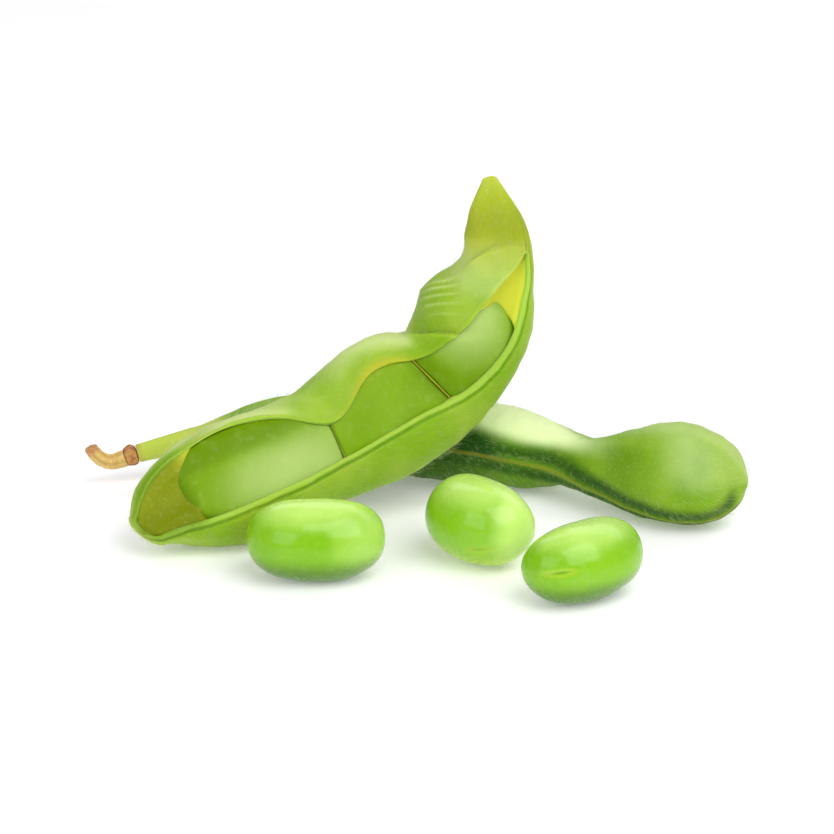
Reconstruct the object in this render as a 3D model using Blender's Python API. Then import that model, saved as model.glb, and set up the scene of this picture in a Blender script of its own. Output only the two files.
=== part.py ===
"""Edamame pod bundle: an opened pod with its beans, a closed pod behind it and three loose beans.

Run with blender --background --python part.py, or from Blender's text editor.
The script works in metres with +Z up. The bundle stands on Z = 0, centred on X = Y = 0.
"""

from math import cos, pi, radians, sin

import bmesh
import bpy
import numpy as np
from mathutils import Vector

MM = 0.001

# The layout below is measured from a point between the two pods. This step moves the middle of the whole
# bundle's box to X = Y = 0.
LAYOUT_SHIFT = (0.481 * MM, -4.532 * MM, 0.0)

# Opened pod. Each station along its middle line holds the middle (x, y, z), the reach from it to the
# upper and the lower valve, the reach to the front and the back, and the turn from the front to the
# slit's upper and lower lip: lengths in millimetres, angles in degrees.
OPEN_POD_STATIONS = (
    (-29.2, -2.6, 3.5, 2.2, 2.8, 2.0, 2.4, 52.0, -47.0),
    (-27.5, -1.0, 4.9, 3.9, 4.8, 3.2, 3.8, 57.0, -41.0),
    (-24.7, 0.8, 6.0, 5.4, 6.0, 4.4, 4.8, 60.0, -33.0),
    (-20.4, 2.4, 7.0, 6.5, 7.1, 5.2, 5.6, 61.0, -25.0),
    (-15.5, 5.0, 8.2, 6.3, 7.2, 5.2, 5.8, 46.0, -23.0),
    (-10.4, 8.5, 9.2, 6.5, 6.8, 4.8, 5.4, 11.0, -22.0),
    (-5.2, 12.0, 11.2, 7.5, 7.9, 5.2, 5.8, 25.0, -21.0),
    (-0.6, 14.5, 14.1, 6.9, 8.6, 4.9, 5.6, 20.0, -26.0),
    (2.8, 15.5, 17.6, 4.9, 8.3, 4.4, 4.8, 6.0, -39.0),
    (5.4, 15.5, 22.1, 5.3, 7.7, 4.8, 5.0, -5.0, -52.0),
    (7.3, 15.0, 26.3, 3.4, 6.0, 4.0, 4.0, -14.0, -66.0),
    (8.5, 14.5, 30.4, 3.4, 4.1, 2.6, 2.4, -37.0, -84.0),
    (8.4, 14.5, 34.0, 2.8, 2.7, 1.3, 1.2, -45.0, -79.0),
    (8.0, 15.0, 37.4, 0.9, 0.9, 0.6, 0.5, -45.0, -79.0),
)
OPEN_POD_NUB = (-29.9, -3.1, 3.0)

# Places along the opened pod, counted in stations: the slit closes at the first, its lips draw together
# over the second before that, and the hollow ends at the third.
SLIT_CLOSES = 11
SLIT_CLOSING = 0.6
HOLLOW_ENDS = 11.5
FRONT = (0.0, -0.94, 0.342)
WALL = 1.1 * MM
SQUARENESS = 2.3
RINGS_PER_STATION = 4
RING_POINTS = 22

# Septa between the chambers: place along the pod, spread along it, share of the hollow that they close.
SEPTA = ((4.96, 0.14, 0.2), (7.36, 0.16, 0.42))

# Folds where the upper valve steps in. Each holds the place along the pod where its line crosses the
# level turn, that turn, its lean and its bow towards the pod's foot for each radian and squared radian
# away from it, the drop, the lengths over which it falls and rises again, and the middle and half width
# of the fold round the pod. Places and lengths along the pod are counted in stations, turns in degrees.
# The first is where the middle chamber's lip stands over the flap, the second is the crease beside it,
# and the third is the flap's top edge.
FOLDS = (
    (8.7, 0.0, 0.72, 0.0, 1.0 * MM, 0.02, 0.7, 40.0, 75.0),
    (7.75, 90.0, 0.0, 0.0, 0.6 * MM, 0.2, 0.2, 90.0, 50.0),
    (11.18, -30.0, 0.0, 0.415, 0.9 * MM, 0.02, 1.5, 15.0, 80.0),
)

# Beans in the pod: where each starts and ends along it. Each fills its chamber but for a small gap.
POD_BEANS = {
    "pod_bean_lower": (1.8, 4.9),
    "pod_bean_middle": (5.02, 7.28),
    "pod_bean_upper": (7.62, 9.72),
}
CHAMBER_GAP = 0.35 * MM

# Loose beans: middle, length, width, height in millimetres, then the turn about the upright in degrees.
LOOSE_BEANS = {
    "loose_bean_left": ((-10.8, -8.3, 4.45), (14.9, 9.2, 8.9), 3.0),
    "loose_bean_middle": ((6.7, -3.1, 4.65), (13.3, 9.6, 9.3), -51.0),
    "loose_bean_right": ((17.7, -13.7, 4.25), (14.3, 8.9, 8.5), 38.0),
}
BEAN_RINGS = 14
BEAN_RING_POINTS = 20
BEAN_BEND = 0.05
BEAN_FULLNESS = 2.35

# Closed pod: middle (x, y, z), half breadth from seam to seam, half thickness, and how far the front
# seam is turned up from level, in millimetres and degrees.
CLOSED_POD_STATIONS = (
    (36.3, 6.6, 5.4, 0.8, 0.8, -50.0),
    (35.6, 6.8, 5.35, 2.5, 2.3, -50.0),
    (33.9, 7.3, 5.25, 4.4, 3.9, -49.0),
    (30.8, 7.9, 5.5, 5.6, 5.0, -47.0),
    (27.0, 9.6, 5.45, 5.6, 4.9, -40.0),
    (21.8, 12.9, 4.5, 4.3, 3.5, -20.0),
    (17.4, 16.4, 4.3, 3.6, 2.8, -4.0),
    (12.6, 18.8, 4.5, 4.8, 4.1, 3.0),
    (8.0, 20.4, 4.8, 5.4, 4.5, 6.0),
    (2.0, 21.6, 4.6, 5.0, 4.3, 10.0),
    (-4.0, 22.5, 4.2, 4.5, 3.8, 8.0),
    (-11.0, 22.9, 4.8, 5.4, 4.6, 4.0),
    (-18.0, 22.3, 4.5, 4.7, 4.0, 0.0),
    (-23.0, 21.6, 4.4, 2.8, 2.5, 0.0),
    (-27.0, 20.9, 4.5, 1.4, 1.35, 0.0),
    (-31.6, 20.2, 3.6, 1.0, 1.0, 0.0),
)
SEAM_RIDGE = 0.22 * MM
CLOSED_POD_RING_POINTS = 28

# Calyx and stalk beyond it, along the middle line, with the radius, in millimetres.
CALYX_STATIONS = (
    (-31.9, 20.15, 3.5, 0.95),
    (-32.3, 20.1, 3.4, 1.12),
    (-32.8, 20.0, 3.25, 0.95),
)
STALK_STATIONS = (
    (-33.2, 19.95, 3.1, 0.85),
    (-34.2, 19.8, 2.75, 0.95),
    (-35.4, 19.6, 3.0, 0.85),
    (-36.4, 19.4, 3.9, 0.75),
    (-36.8, 19.3, 4.6, 0.7),
)
STALK_RING_POINTS = 12

COLOURS = {
    "pod": (0.42, 0.58, 0.10),
    "bean": (0.36, 0.68, 0.06),
    "calyx": (0.45, 0.17, 0.06),
    "stalk": (0.62, 0.42, 0.16),
}


def clear_scene():
    """Remove every object that the opened file holds."""
    for item in list(bpy.data.objects):
        bpy.data.objects.remove(item, do_unlink=True)


def make_material(name, roughness):
    """Return a Principled material of the named colour."""
    material = bpy.data.materials.new(name)
    material.use_nodes = True
    shader = material.node_tree.nodes["Principled BSDF"]
    shader.inputs["Base Color"].default_value = (*COLOURS[name], 1.0)
    shader.inputs["Roughness"].default_value = roughness
    shader.inputs["Metallic"].default_value = 0.0
    return material


def spline_rows(rows, at):
    """Read a natural cubic spline through rows of values, at places counted in rows."""
    rows = np.asarray(rows, float)
    last = len(rows) - 1
    system = np.eye(last + 1)
    bend = np.zeros_like(rows)
    for i in range(1, last):
        system[i, i - 1:i + 2] = 1.0, 4.0, 1.0
        bend[i] = 6.0 * (rows[i + 1] - 2.0 * rows[i] + rows[i - 1])
    curve = np.linalg.solve(system, bend)
    i = np.clip(np.floor(at).astype(int), 0, last - 1)
    after = (np.asarray(at) - i)[:, None]
    before = 1.0 - after
    return (before * rows[i] + after * rows[i + 1]
            + (before**3 - before) * curve[i] / 6.0 + (after**3 - after) * curve[i + 1] / 6.0)


def unit(vectors):
    """Scale each vector to length one."""
    return vectors / np.linalg.norm(vectors, axis=-1, keepdims=True)


def squared(value, squareness):
    """Turn a cosine or sine into that of a fuller, squarer round."""
    return np.sign(value) * np.abs(value) ** (2.0 / squareness)


def make_object(name, points, faces, material):
    """Build one closed body from points in metres and faces, with its faces pointing out."""
    mesh = bpy.data.meshes.new(name)
    body = bmesh.new()
    corners = [body.verts.new(Vector(point) + Vector(LAYOUT_SHIFT)) for point in points]
    for face in faces:
        body.faces.new([corners[i] for i in face])
    bmesh.ops.recalc_face_normals(body, faces=body.faces)
    body.to_mesh(mesh)
    body.free()
    mesh.shade_smooth()
    mesh.materials.append(material)
    item = bpy.data.objects.new(name, mesh)
    bpy.context.collection.objects.link(item)
    return item


def pod_frame(at):
    """Read the opened pod's middle line at the given places.

    Returns the middle points, the front and the up directions, the four reaches and the two lip angles.
    """
    rows = spline_rows(OPEN_POD_STATIONS, at)
    middle = rows[:, :3] * MM
    ahead = spline_rows(OPEN_POD_STATIONS, at + 0.01)[:, :3]
    behind = spline_rows(OPEN_POD_STATIONS, at - 0.01)[:, :3]
    along = unit(ahead - behind)
    front = unit(np.array(FRONT) - (along @ np.array(FRONT))[:, None] * along)
    up = np.cross(front, along)
    lips = np.radians(rows[:, 7:9])
    opened = np.sqrt(np.clip((SLIT_CLOSES - np.asarray(at)) / SLIT_CLOSING, 0.0, 1.0))[:, None]
    lips = lips.mean(axis=1, keepdims=True) * (1.0 - opened) + lips * opened
    return middle, front, up, rows[:, 3:7] * MM, lips


def section(frame, reach, turn, drop=0.0):
    """Place points round the middle line.

    The reach holds each ring's four reaches, the turn is the angle from the front towards the upper
    valve, and the drop is how far each point is moved in.
    """
    middle, front, up = frame
    across, rise = squared(np.cos(turn), SQUARENESS), squared(np.sin(turn), SQUARENESS)
    depth = np.where(across > 0.0, reach[:, 2:3], reach[:, 3:4])
    breadth = np.where(rise > 0.0, reach[:, 0:1], reach[:, 1:2])
    out = (across * depth)[..., None] * front[:, None] + (rise * breadth)[..., None] * up[:, None]
    length = np.linalg.norm(out, axis=-1)
    return middle[:, None] + out * np.maximum(1.0 - drop / length, 0.4)[..., None]


def fold_drop(at, turn):
    """Say how far the folds move each point of the pod's skin in."""
    drop = np.zeros_like(turn)
    for place, level, lean, bow, depth, fall, rise, middle_turn, half_turn in FOLDS:
        away = np.clip((np.degrees(turn) - middle_turn) / half_turn, -1.0, 1.0)
        from_level = turn - radians(level)
        past = at[:, None] - place + lean * from_level + bow * from_level**2
        drop += depth * np.cos(0.5 * pi * away) * np.exp(-np.abs(past) / np.where(past > 0.0, rise, fall))
    return drop


def open_pod_rings():
    """Work out the opened pod's outer and inner rings, and how many rings have the slit."""
    last = len(OPEN_POD_STATIONS) - 1
    at = np.linspace(0.0, last, last * RINGS_PER_STATION + 1)
    middle, front, up, reach, lips = pod_frame(at)
    opened = at[:, None] < SLIT_CLOSES
    upper = np.where(opened, lips[:, :1], lips[:, 1:])
    step = np.linspace(0.0, 1.0, RING_POINTS + 1)
    turn = upper + (2.0 * pi - upper + lips[:, 1:]) * step
    drop = fold_drop(at, turn)
    narrowing = np.ones(len(at))
    for place, spread, depth in SEPTA:
        narrowing -= depth * np.exp(-((at - place) / spread) ** 2)
    wall = np.minimum(WALL, 0.45 * reach.min(axis=1, keepdims=True))
    outer = section((middle, front, up), reach, turn, drop)
    inner = section((middle, front, up), (reach - wall) * narrowing[:, None], turn, drop)
    return outer, inner[:int(HOLLOW_ENDS * RINGS_PER_STATION) + 1], SLIT_CLOSES * RINGS_PER_STATION


def build_open_pod(material):
    """Build the opened pod: an outer and an inner skin that meet along the two lips of its slit."""
    outer, inner, slit_rings = open_pod_rings()
    points = []

    def add_skin(rings):
        """Store a skin's points, welding the lips where the slit is closed; return their numbers."""
        numbers = np.zeros(rings.shape[:2], int)
        for i, ring in enumerate(rings):
            for j, point in enumerate(ring):
                if i >= slit_rings and j == RING_POINTS:
                    numbers[i, j] = numbers[i, 0]
                else:
                    numbers[i, j] = len(points)
                    points.append(point)
        return numbers

    def add_point(point):
        """Store one point and return its number."""
        points.append(point)
        return len(points) - 1

    skins = [add_skin(outer), add_skin(inner)]
    faces = []
    for skin in skins:
        for i in range(len(skin) - 1):
            for j in range(RING_POINTS):
                faces.append((skin[i, j], skin[i + 1, j], skin[i + 1, j + 1], skin[i, j + 1]))
    for j in (0, RING_POINTS):
        for i in range(slit_rings):
            faces.append((skins[0][i, j], skins[0][i + 1, j], skins[1][i + 1, j], skins[1][i, j]))
    nub = add_point(np.array(OPEN_POD_NUB) * MM)
    hollow_start = add_point(0.6 * np.array(OPEN_POD_NUB) * MM + 0.4 * inner[0].mean(axis=0))
    hollow_end = add_point(inner[-1].mean(axis=0) * 0.7 + outer[len(inner)].mean(axis=0) * 0.3)
    for j in range(RING_POINTS):
        faces.append((nub, skins[0][0, j], skins[0][0, j + 1]))
        faces.append((hollow_start, skins[1][0, j], skins[1][0, j + 1]))
        faces.append((hollow_end, skins[1][-1, j], skins[1][-1, j + 1]))
    for j in (0, RING_POINTS):
        faces.append((nub, skins[0][0, j], skins[1][0, j], hollow_start))
    faces.append([int(i) for i in skins[0][-1, :RING_POINTS]])
    return make_object("open_pod", points, faces, material)


def loft(name, rings, material):
    """Join closed rings of points into one body, with a flat cap at each end."""
    count = rings.shape[1]
    faces = [tuple(range(count)), tuple(range((len(rings) - 1) * count, len(rings) * count))]
    for i in range(len(rings) - 1):
        for j in range(count):
            after = (j + 1) % count
            faces.append((i * count + j, (i + 1) * count + j, (i + 1) * count + after, i * count + after))
    return make_object(name, rings.reshape(-1, 3), faces, material)


def build_closed_pod(material):
    """Build the closed pod, with a low ridge along its front and back seams."""
    last = len(CLOSED_POD_STATIONS) - 1
    rows = spline_rows(CLOSED_POD_STATIONS, np.linspace(0.0, last, last * 3 + 1))
    middle = rows[:, :3] * MM
    along = unit(np.gradient(middle, axis=0))
    level = unit(np.cross(along, (0.0, 0.0, 1.0)))
    level *= -np.sign(level[:, 1:2])
    upright = np.cross(level, along)
    upright *= np.sign(upright[:, 2:3])
    tilt = np.radians(rows[:, 5:6])
    seam = level * np.cos(tilt) + upright * np.sin(tilt)
    flat = upright * np.cos(tilt) - level * np.sin(tilt)
    turn = np.linspace(0.0, 2.0 * pi, CLOSED_POD_RING_POINTS, endpoint=False)
    ridge = SEAM_RIDGE * np.cos(turn) ** 40
    breadth = squared(np.cos(turn), 2.1) * rows[:, 3:4] * MM + np.sign(np.cos(turn)) * ridge
    thickness = squared(np.sin(turn), 2.1) * rows[:, 4:5] * MM
    rings = middle[:, None] + breadth[..., None] * seam[:, None] + thickness[..., None] * flat[:, None]
    return loft("closed_pod", rings, material)


def build_stem(name, stations, material):
    """Build a round stem of varying radius along its middle line."""
    last = len(stations) - 1
    rows = spline_rows(stations, np.linspace(0.0, last, last * 3 + 1)) * MM
    middle = rows[:, :3]
    along = unit(np.gradient(middle, axis=0))
    side = unit(np.cross(along, (0.0, 1.0, 0.0)))
    depth = np.cross(along, side)
    turn = np.linspace(0.0, 2.0 * pi, STALK_RING_POINTS, endpoint=False)
    rings = (middle[:, None] + (np.cos(turn) * rows[:, 3:4])[..., None] * side[:, None]
             + (np.sin(turn) * rows[:, 3:4])[..., None] * depth[:, None])
    return loft(name, rings, material)


def bean_body(name, rings, ends, material):
    """Join a bean's rings into one body that closes at its two end points."""
    count = rings.shape[1]
    points = [*rings.reshape(-1, 3), *ends]
    tail = (len(rings) - 1) * count
    faces = []
    for j in range(count):
        after = (j + 1) % count
        for i in range(len(rings) - 1):
            faces.append((i * count + j, (i + 1) * count + j, (i + 1) * count + after, i * count + after))
        faces.append((len(points) - 2, j, after))
        faces.append((len(points) - 1, tail + j, tail + after))
    return make_object(name, points, faces, material)


def bean_steps():
    """Return the angles from end to end and round a bean."""
    polar = np.linspace(0.0, pi, BEAN_RINGS + 1)
    turn = np.linspace(-pi, pi, BEAN_RING_POINTS, endpoint=False)
    return polar, turn


def build_pod_bean(name, material):
    """Build a bean that lies in the opened pod and follows its chamber."""
    start, end = POD_BEANS[name]
    polar, turn = bean_steps()
    at = 0.5 * (start + end) - 0.5 * (end - start) * squared(np.cos(polar), BEAN_FULLNESS)
    middle, front, up, reach, _ = pod_frame(at)
    turn = np.broadcast_to(turn, (len(at), len(turn)))
    girth = squared(np.sin(polar), BEAN_FULLNESS)[:, None]
    size = (reach - WALL - CHAMBER_GAP) * girth
    # The pod's rings start to step in a little before a fold, so the bean does too.
    drop = np.maximum(fold_drop(at, turn), fold_drop(at + 0.5 / RINGS_PER_STATION, turn))
    rings = section((middle, front, up), np.maximum(size, 1e-6), turn, drop * girth)
    return bean_body(name, rings[1:-1], (middle[0], middle[-1]), material)


def build_loose_bean(name, material):
    """Build one loose bean: a full oval, bent a little towards its hilum."""
    middle, size, turned = LOOSE_BEANS[name]
    length, width, height = (value * MM for value in size)
    polar, turn = bean_steps()
    polar, turn = polar[:, None], turn[None, :]
    girth = squared(np.sin(polar), BEAN_FULLNESS)
    x = 0.5 * length * squared(np.cos(polar), BEAN_FULLNESS) + 0.0 * turn
    y = 0.5 * width * girth * np.cos(turn) + BEAN_BEND * length * (np.cos(polar) ** 2 - 0.3)
    z = 0.5 * height * girth * np.sin(turn)
    yaw = radians(turned)
    placed = np.stack([x * cos(yaw) - y * sin(yaw), x * sin(yaw) + y * cos(yaw), z], axis=-1)
    placed += np.array(middle) * MM
    return bean_body(name, placed[1:-1], (placed[0, 0], placed[-1, 0]), material)


def main():
    """Build every piece of the bundle."""
    clear_scene()
    pod = make_material("pod", 0.55)
    bean = make_material("bean", 0.28)
    build_open_pod(pod)
    build_closed_pod(pod)
    build_stem("closed_pod_calyx", CALYX_STATIONS, make_material("calyx", 0.8))
    build_stem("closed_pod_stalk", STALK_STATIONS, make_material("stalk", 0.7))
    for name in POD_BEANS:
        build_pod_bean(name, bean)
    for name in LOOSE_BEANS:
        build_loose_bean(name, bean)


main()
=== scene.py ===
"""Looks of the edamame pod bundle: the fresh pods, beans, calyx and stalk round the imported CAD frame.

The script works in metres with +Z up, in the frame of the CAD model. Each piece is built finer than its
CAD node, along the same middle lines, and then stands for that node. The hairs on the two pods are grown
by Geometry Nodes.
"""

import logging
from dataclasses import dataclass, field
from enum import Enum, IntEnum
from math import cos, pi, radians, sin

import bmesh
import bpy
import numpy as np
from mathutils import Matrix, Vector


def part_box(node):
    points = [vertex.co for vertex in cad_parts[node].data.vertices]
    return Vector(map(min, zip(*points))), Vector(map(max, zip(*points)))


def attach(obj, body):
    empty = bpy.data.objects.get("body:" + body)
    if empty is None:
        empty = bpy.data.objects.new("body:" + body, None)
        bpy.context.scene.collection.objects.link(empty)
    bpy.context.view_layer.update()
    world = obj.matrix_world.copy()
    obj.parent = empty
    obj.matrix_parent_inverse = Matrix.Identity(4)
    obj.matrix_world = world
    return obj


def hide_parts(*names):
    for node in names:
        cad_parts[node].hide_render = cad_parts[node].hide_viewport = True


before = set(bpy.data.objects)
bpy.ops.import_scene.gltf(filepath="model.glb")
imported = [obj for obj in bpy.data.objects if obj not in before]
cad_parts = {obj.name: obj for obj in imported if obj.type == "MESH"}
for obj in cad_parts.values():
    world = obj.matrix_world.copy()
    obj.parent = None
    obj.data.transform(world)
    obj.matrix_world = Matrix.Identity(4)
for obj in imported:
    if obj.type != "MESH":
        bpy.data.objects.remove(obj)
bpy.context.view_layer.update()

MM = 0.001
LOG = logging.getLogger("edamame")
WELD = 1e-7

# The noise values between which a finish's patches and its specks come in.
PATCH_EDGE = (0.36, 0.64)
SPECK_EDGE = (0.5, 0.75)

Rows = tuple[tuple[float, ...], ...]

# Opened pod, one row for each station along its middle line: the middle (x, y, z), the reach to the upper
# and the lower valve, the reach to the front and the back, and the turn from the front to the slit's upper
# and lower lip. Lengths are in millimetres and angles in degrees.
OPEN_POD_STATIONS: Rows = (
    (-29.2, -2.6, 3.5, 2.2, 2.8, 2.0, 2.4, 52.0, -47.0),
    (-27.5, -1.0, 4.9, 3.9, 4.8, 3.2, 3.8, 57.0, -41.0),
    (-24.7, 0.8, 6.0, 5.4, 6.0, 4.4, 4.8, 60.0, -33.0),
    (-20.4, 2.4, 7.0, 6.5, 7.1, 5.2, 5.6, 61.0, -25.0),
    (-15.5, 5.0, 8.2, 6.3, 7.2, 5.2, 5.8, 46.0, -23.0),
    (-10.4, 8.5, 9.2, 6.5, 6.8, 4.8, 5.4, 11.0, -22.0),
    (-5.2, 12.0, 11.2, 7.5, 7.9, 5.2, 5.8, 25.0, -21.0),
    (-0.6, 14.5, 14.1, 6.9, 8.6, 4.9, 5.6, 20.0, -26.0),
    (2.8, 15.5, 17.6, 4.9, 8.3, 4.4, 4.8, 6.0, -39.0),
    (5.4, 15.5, 22.1, 5.3, 7.7, 4.8, 5.0, -5.0, -52.0),
    (7.3, 15.0, 26.3, 3.4, 6.0, 4.0, 4.0, -14.0, -66.0),
    (8.5, 14.5, 30.4, 3.4, 4.1, 2.6, 2.4, -37.0, -84.0),
    (8.4, 14.5, 34.0, 2.8, 2.7, 1.3, 1.2, -45.0, -79.0),
    (8.0, 15.0, 37.4, 0.9, 0.9, 0.6, 0.5, -45.0, -79.0),
)

# Closed pod: middle (x, y, z), half breadth from seam to seam, half thickness, and how far the front seam
# is turned up from level.
CLOSED_POD_STATIONS: Rows = (
    (36.3, 6.6, 5.4, 0.8, 0.8, -50.0),
    (35.6, 6.8, 5.35, 2.5, 2.3, -50.0),
    (33.9, 7.3, 5.25, 4.4, 3.9, -49.0),
    (30.8, 7.9, 5.5, 5.6, 5.0, -47.0),
    (27.0, 9.6, 5.45, 5.6, 4.9, -40.0),
    (21.8, 12.9, 4.5, 4.3, 3.5, -20.0),
    (17.4, 16.4, 4.3, 3.6, 2.8, -4.0),
    (12.6, 18.8, 4.5, 4.8, 4.1, 3.0),
    (8.0, 20.4, 4.8, 5.4, 4.5, 6.0),
    (2.0, 21.6, 4.6, 5.0, 4.3, 10.0),
    (-4.0, 22.5, 4.2, 4.5, 3.8, 8.0),
    (-11.0, 22.9, 4.8, 5.4, 4.6, 4.0),
    (-18.0, 22.3, 4.5, 4.7, 4.0, 0.0),
    (-23.0, 21.6, 4.4, 2.8, 2.5, 0.0),
    (-27.0, 20.9, 4.5, 1.4, 1.35, 0.0),
    (-31.6, 20.2, 3.6, 1.0, 1.0, 0.0),
)

# Calyx and the stalk beyond it: middle (x, y, z) and radius.
CALYX_STATIONS: Rows = (
    (-31.75, 20.17, 3.55, 0.98),
    (-32.3, 20.1, 3.4, 1.14),
    (-32.95, 19.98, 3.2, 0.98),
)
STALK_STATIONS: Rows = (
    (-33.05, 19.95, 3.15, 0.96),
    (-34.2, 19.8, 2.8, 0.92),
    (-35.4, 19.6, 3.0, 0.86),
    (-36.4, 19.4, 3.9, 0.8),
    (-36.8, 19.3, 4.6, 0.76),
)


class Mark(Enum):
    """A value stored on each point of a piece, which its finish or its hairs read."""

    INNER = "inner"
    EDGE = "edge"
    LINE = "line"
    DRY = "dry"
    # Darker colour, and painted shade.
    DEEP_AND_SHADE = "deep"
    # Warmer, yellower tone, and in places painted light thrown up from below.
    WARM = "warm"
    # Painted highlight, and paler colour towards the opened pod's tip.
    PALE_AND_HIGHLIGHT = "pale"
    # Painted shade, laid as a darkening tint.
    PAINTED_SHADE = "painted_shade"
    HAIRY = "hairy"
    SKIN = "skin"
    FLOW = "flow"

    @property
    def is_vector(self) -> bool:
        """Say whether the mark holds three numbers for each point."""
        return self in (Mark.SKIN, Mark.FLOW)


class Blend(Enum):
    """How one colour is laid over another."""

    COVER = "MIX"
    DARKEN = "MULTIPLY"


class Seed(IntEnum):
    """The seeds of the random draws."""

    HULL_LUMPS = 3
    HULL_FINE_LUMPS = 4
    WALL_LUMPS = 6
    HULL_HAIRS = 11
    RIPE_HULL_HAIRS = 17
    POD_BEAN_LUMPS = 21
    LOOSE_BEAN_LUMPS = 31
    RIPE_HULL_LUMPS = 41
    RIPE_HULL_FINE_LUMPS = 42
    STEM_LUMPS = 51


Marks = dict[Mark, np.ndarray | float]


def spline_rows(rows: Rows, at: np.ndarray) -> np.ndarray:
    """Read a natural cubic spline through rows of values.

    Args:
        rows: The values at places 0, 1, 2 and on.
        at: The places to read, counted in rows.

    Returns:
        One row of values for each place.
    """
    values = np.asarray(rows, float)
    last = len(values) - 1
    system = np.eye(last + 1)
    bend = np.zeros_like(values)
    for i in range(1, last):
        system[i, i - 1:i + 2] = 1.0, 4.0, 1.0
        bend[i] = 6.0 * (values[i + 1] - 2.0 * values[i] + values[i - 1])
    curve = np.linalg.solve(system, bend)
    i = np.clip(np.floor(at).astype(int), 0, last - 1)
    after = (np.asarray(at) - i)[:, None]
    before = 1.0 - after
    return (before * values[i] + after * values[i + 1]
            + (before**3 - before) * curve[i] / 6.0 + (after**3 - after) * curve[i + 1] / 6.0)


def unit(vectors: np.ndarray) -> np.ndarray:
    """Scale each vector to length one."""
    return vectors / np.maximum(np.linalg.norm(vectors, axis=-1, keepdims=True), 1e-12)


def squared(value: np.ndarray, squareness: float) -> np.ndarray:
    """Turn a cosine or sine into that of a fuller, squarer round."""
    return np.sign(value) * np.abs(value) ** (2.0 / squareness)


def hump(value: np.ndarray, middle: float, width: float) -> np.ndarray:
    """Give a smooth bump of height one at the middle, and nearly nothing two widths from it."""
    return np.exp(-((value - middle) / width) ** 2)


def ramp(value: np.ndarray, start: float, full: float) -> np.ndarray:
    """Go smoothly from 0 at the start to 1 at the full value, which may lie on either side of it."""
    share = np.clip((value - start) / (full - start), 0.0, 1.0)
    return share * share * (3.0 - 2.0 * share)


def ripple(points: np.ndarray, wavelength: float, seed: int, waves: int = 14) -> np.ndarray:
    """Give smooth random lumps in space, as a sum of plane waves.

    Args:
        points: Points, with x, y and z on the last axis.
        wavelength: The usual distance from lump to lump, in metres.
        seed: The seed of the random draws.
        waves: How many waves are summed.

    Returns:
        A height for each point, mostly between -2 and 2.
    """
    draw = np.random.default_rng(seed)
    total = np.zeros(points.shape[:-1])
    for _ in range(waves):
        direction = unit(draw.normal(size=3))
        length = wavelength * draw.uniform(0.75, 1.35)
        total += np.cos(2.0 * pi * (points @ direction) / length + draw.uniform(0.0, 2.0 * pi))
    return total / np.sqrt(0.5 * waves)


def arc_lengths(points: np.ndarray, axis: int) -> np.ndarray:
    """Measure the way along each line of points from its first point.

    Args:
        points: A grid of points.
        axis: The grid's axis that runs along the lines.

    Returns:
        The length walked at each point.
    """
    steps = np.linalg.norm(np.diff(points, axis=axis), axis=-1)
    walked = np.cumsum(steps, axis=axis)
    first = np.zeros_like(np.take(walked, [0], axis=axis))
    return np.concatenate([first, walked], axis=axis)


def dome(ring: np.ndarray, pole: np.ndarray, rows: int) -> np.ndarray:
    """Close a ring of points with a round end.

    Args:
        ring: The ring.
        pole: The top of the end.
        rows: How many rings the end has, the last of them at the pole.

    Returns:
        The rings of the end, from next to the ring up to the pole.
    """
    middle = ring.mean(axis=0)
    angle = np.linspace(0.0, 0.5 * pi, rows + 1)[1:, None, None]
    return middle + (ring - middle) * np.cos(angle) + (pole - middle) * np.sin(angle)


def capped(rings: np.ndarray, start: np.ndarray, end: np.ndarray, rows: int) -> np.ndarray:
    """Close both ends of a line of rings with domes.

    Args:
        rings: The rings.
        start: The top of the first dome.
        end: The top of the last dome.
        rows: How many rings each dome has.

    Returns:
        All the rings.
    """
    return np.concatenate([dome(rings[0], start, rows)[::-1], rings, dome(rings[-1], end, rows)])


def padded(values: np.ndarray, rows: int) -> np.ndarray:
    """Repeat the first and the last ring's values for the rings of both domes."""
    return np.concatenate([values[:1].repeat(rows, 0), values, values[-1:].repeat(rows, 0)])


def lifted(points: np.ndarray, middle: np.ndarray, lift: np.ndarray) -> np.ndarray:
    """Move each point away from its middle by its own lift."""
    return points + unit(points - middle) * lift[..., None]


def skin_place(along: np.ndarray, across: np.ndarray) -> np.ndarray:
    """Join the ways along and across a skin, in metres, into the place that drawn-out grains read."""
    along, across = np.broadcast_arrays(along, across)
    return np.stack([along, across, np.zeros_like(across)], axis=-1)


def add_object(name: str, data: bpy.types.ID) -> bpy.types.Object:
    """Put a new object into the scene."""
    item = bpy.data.objects.new(name, data)
    bpy.context.scene.collection.objects.link(item)
    return item


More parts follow.
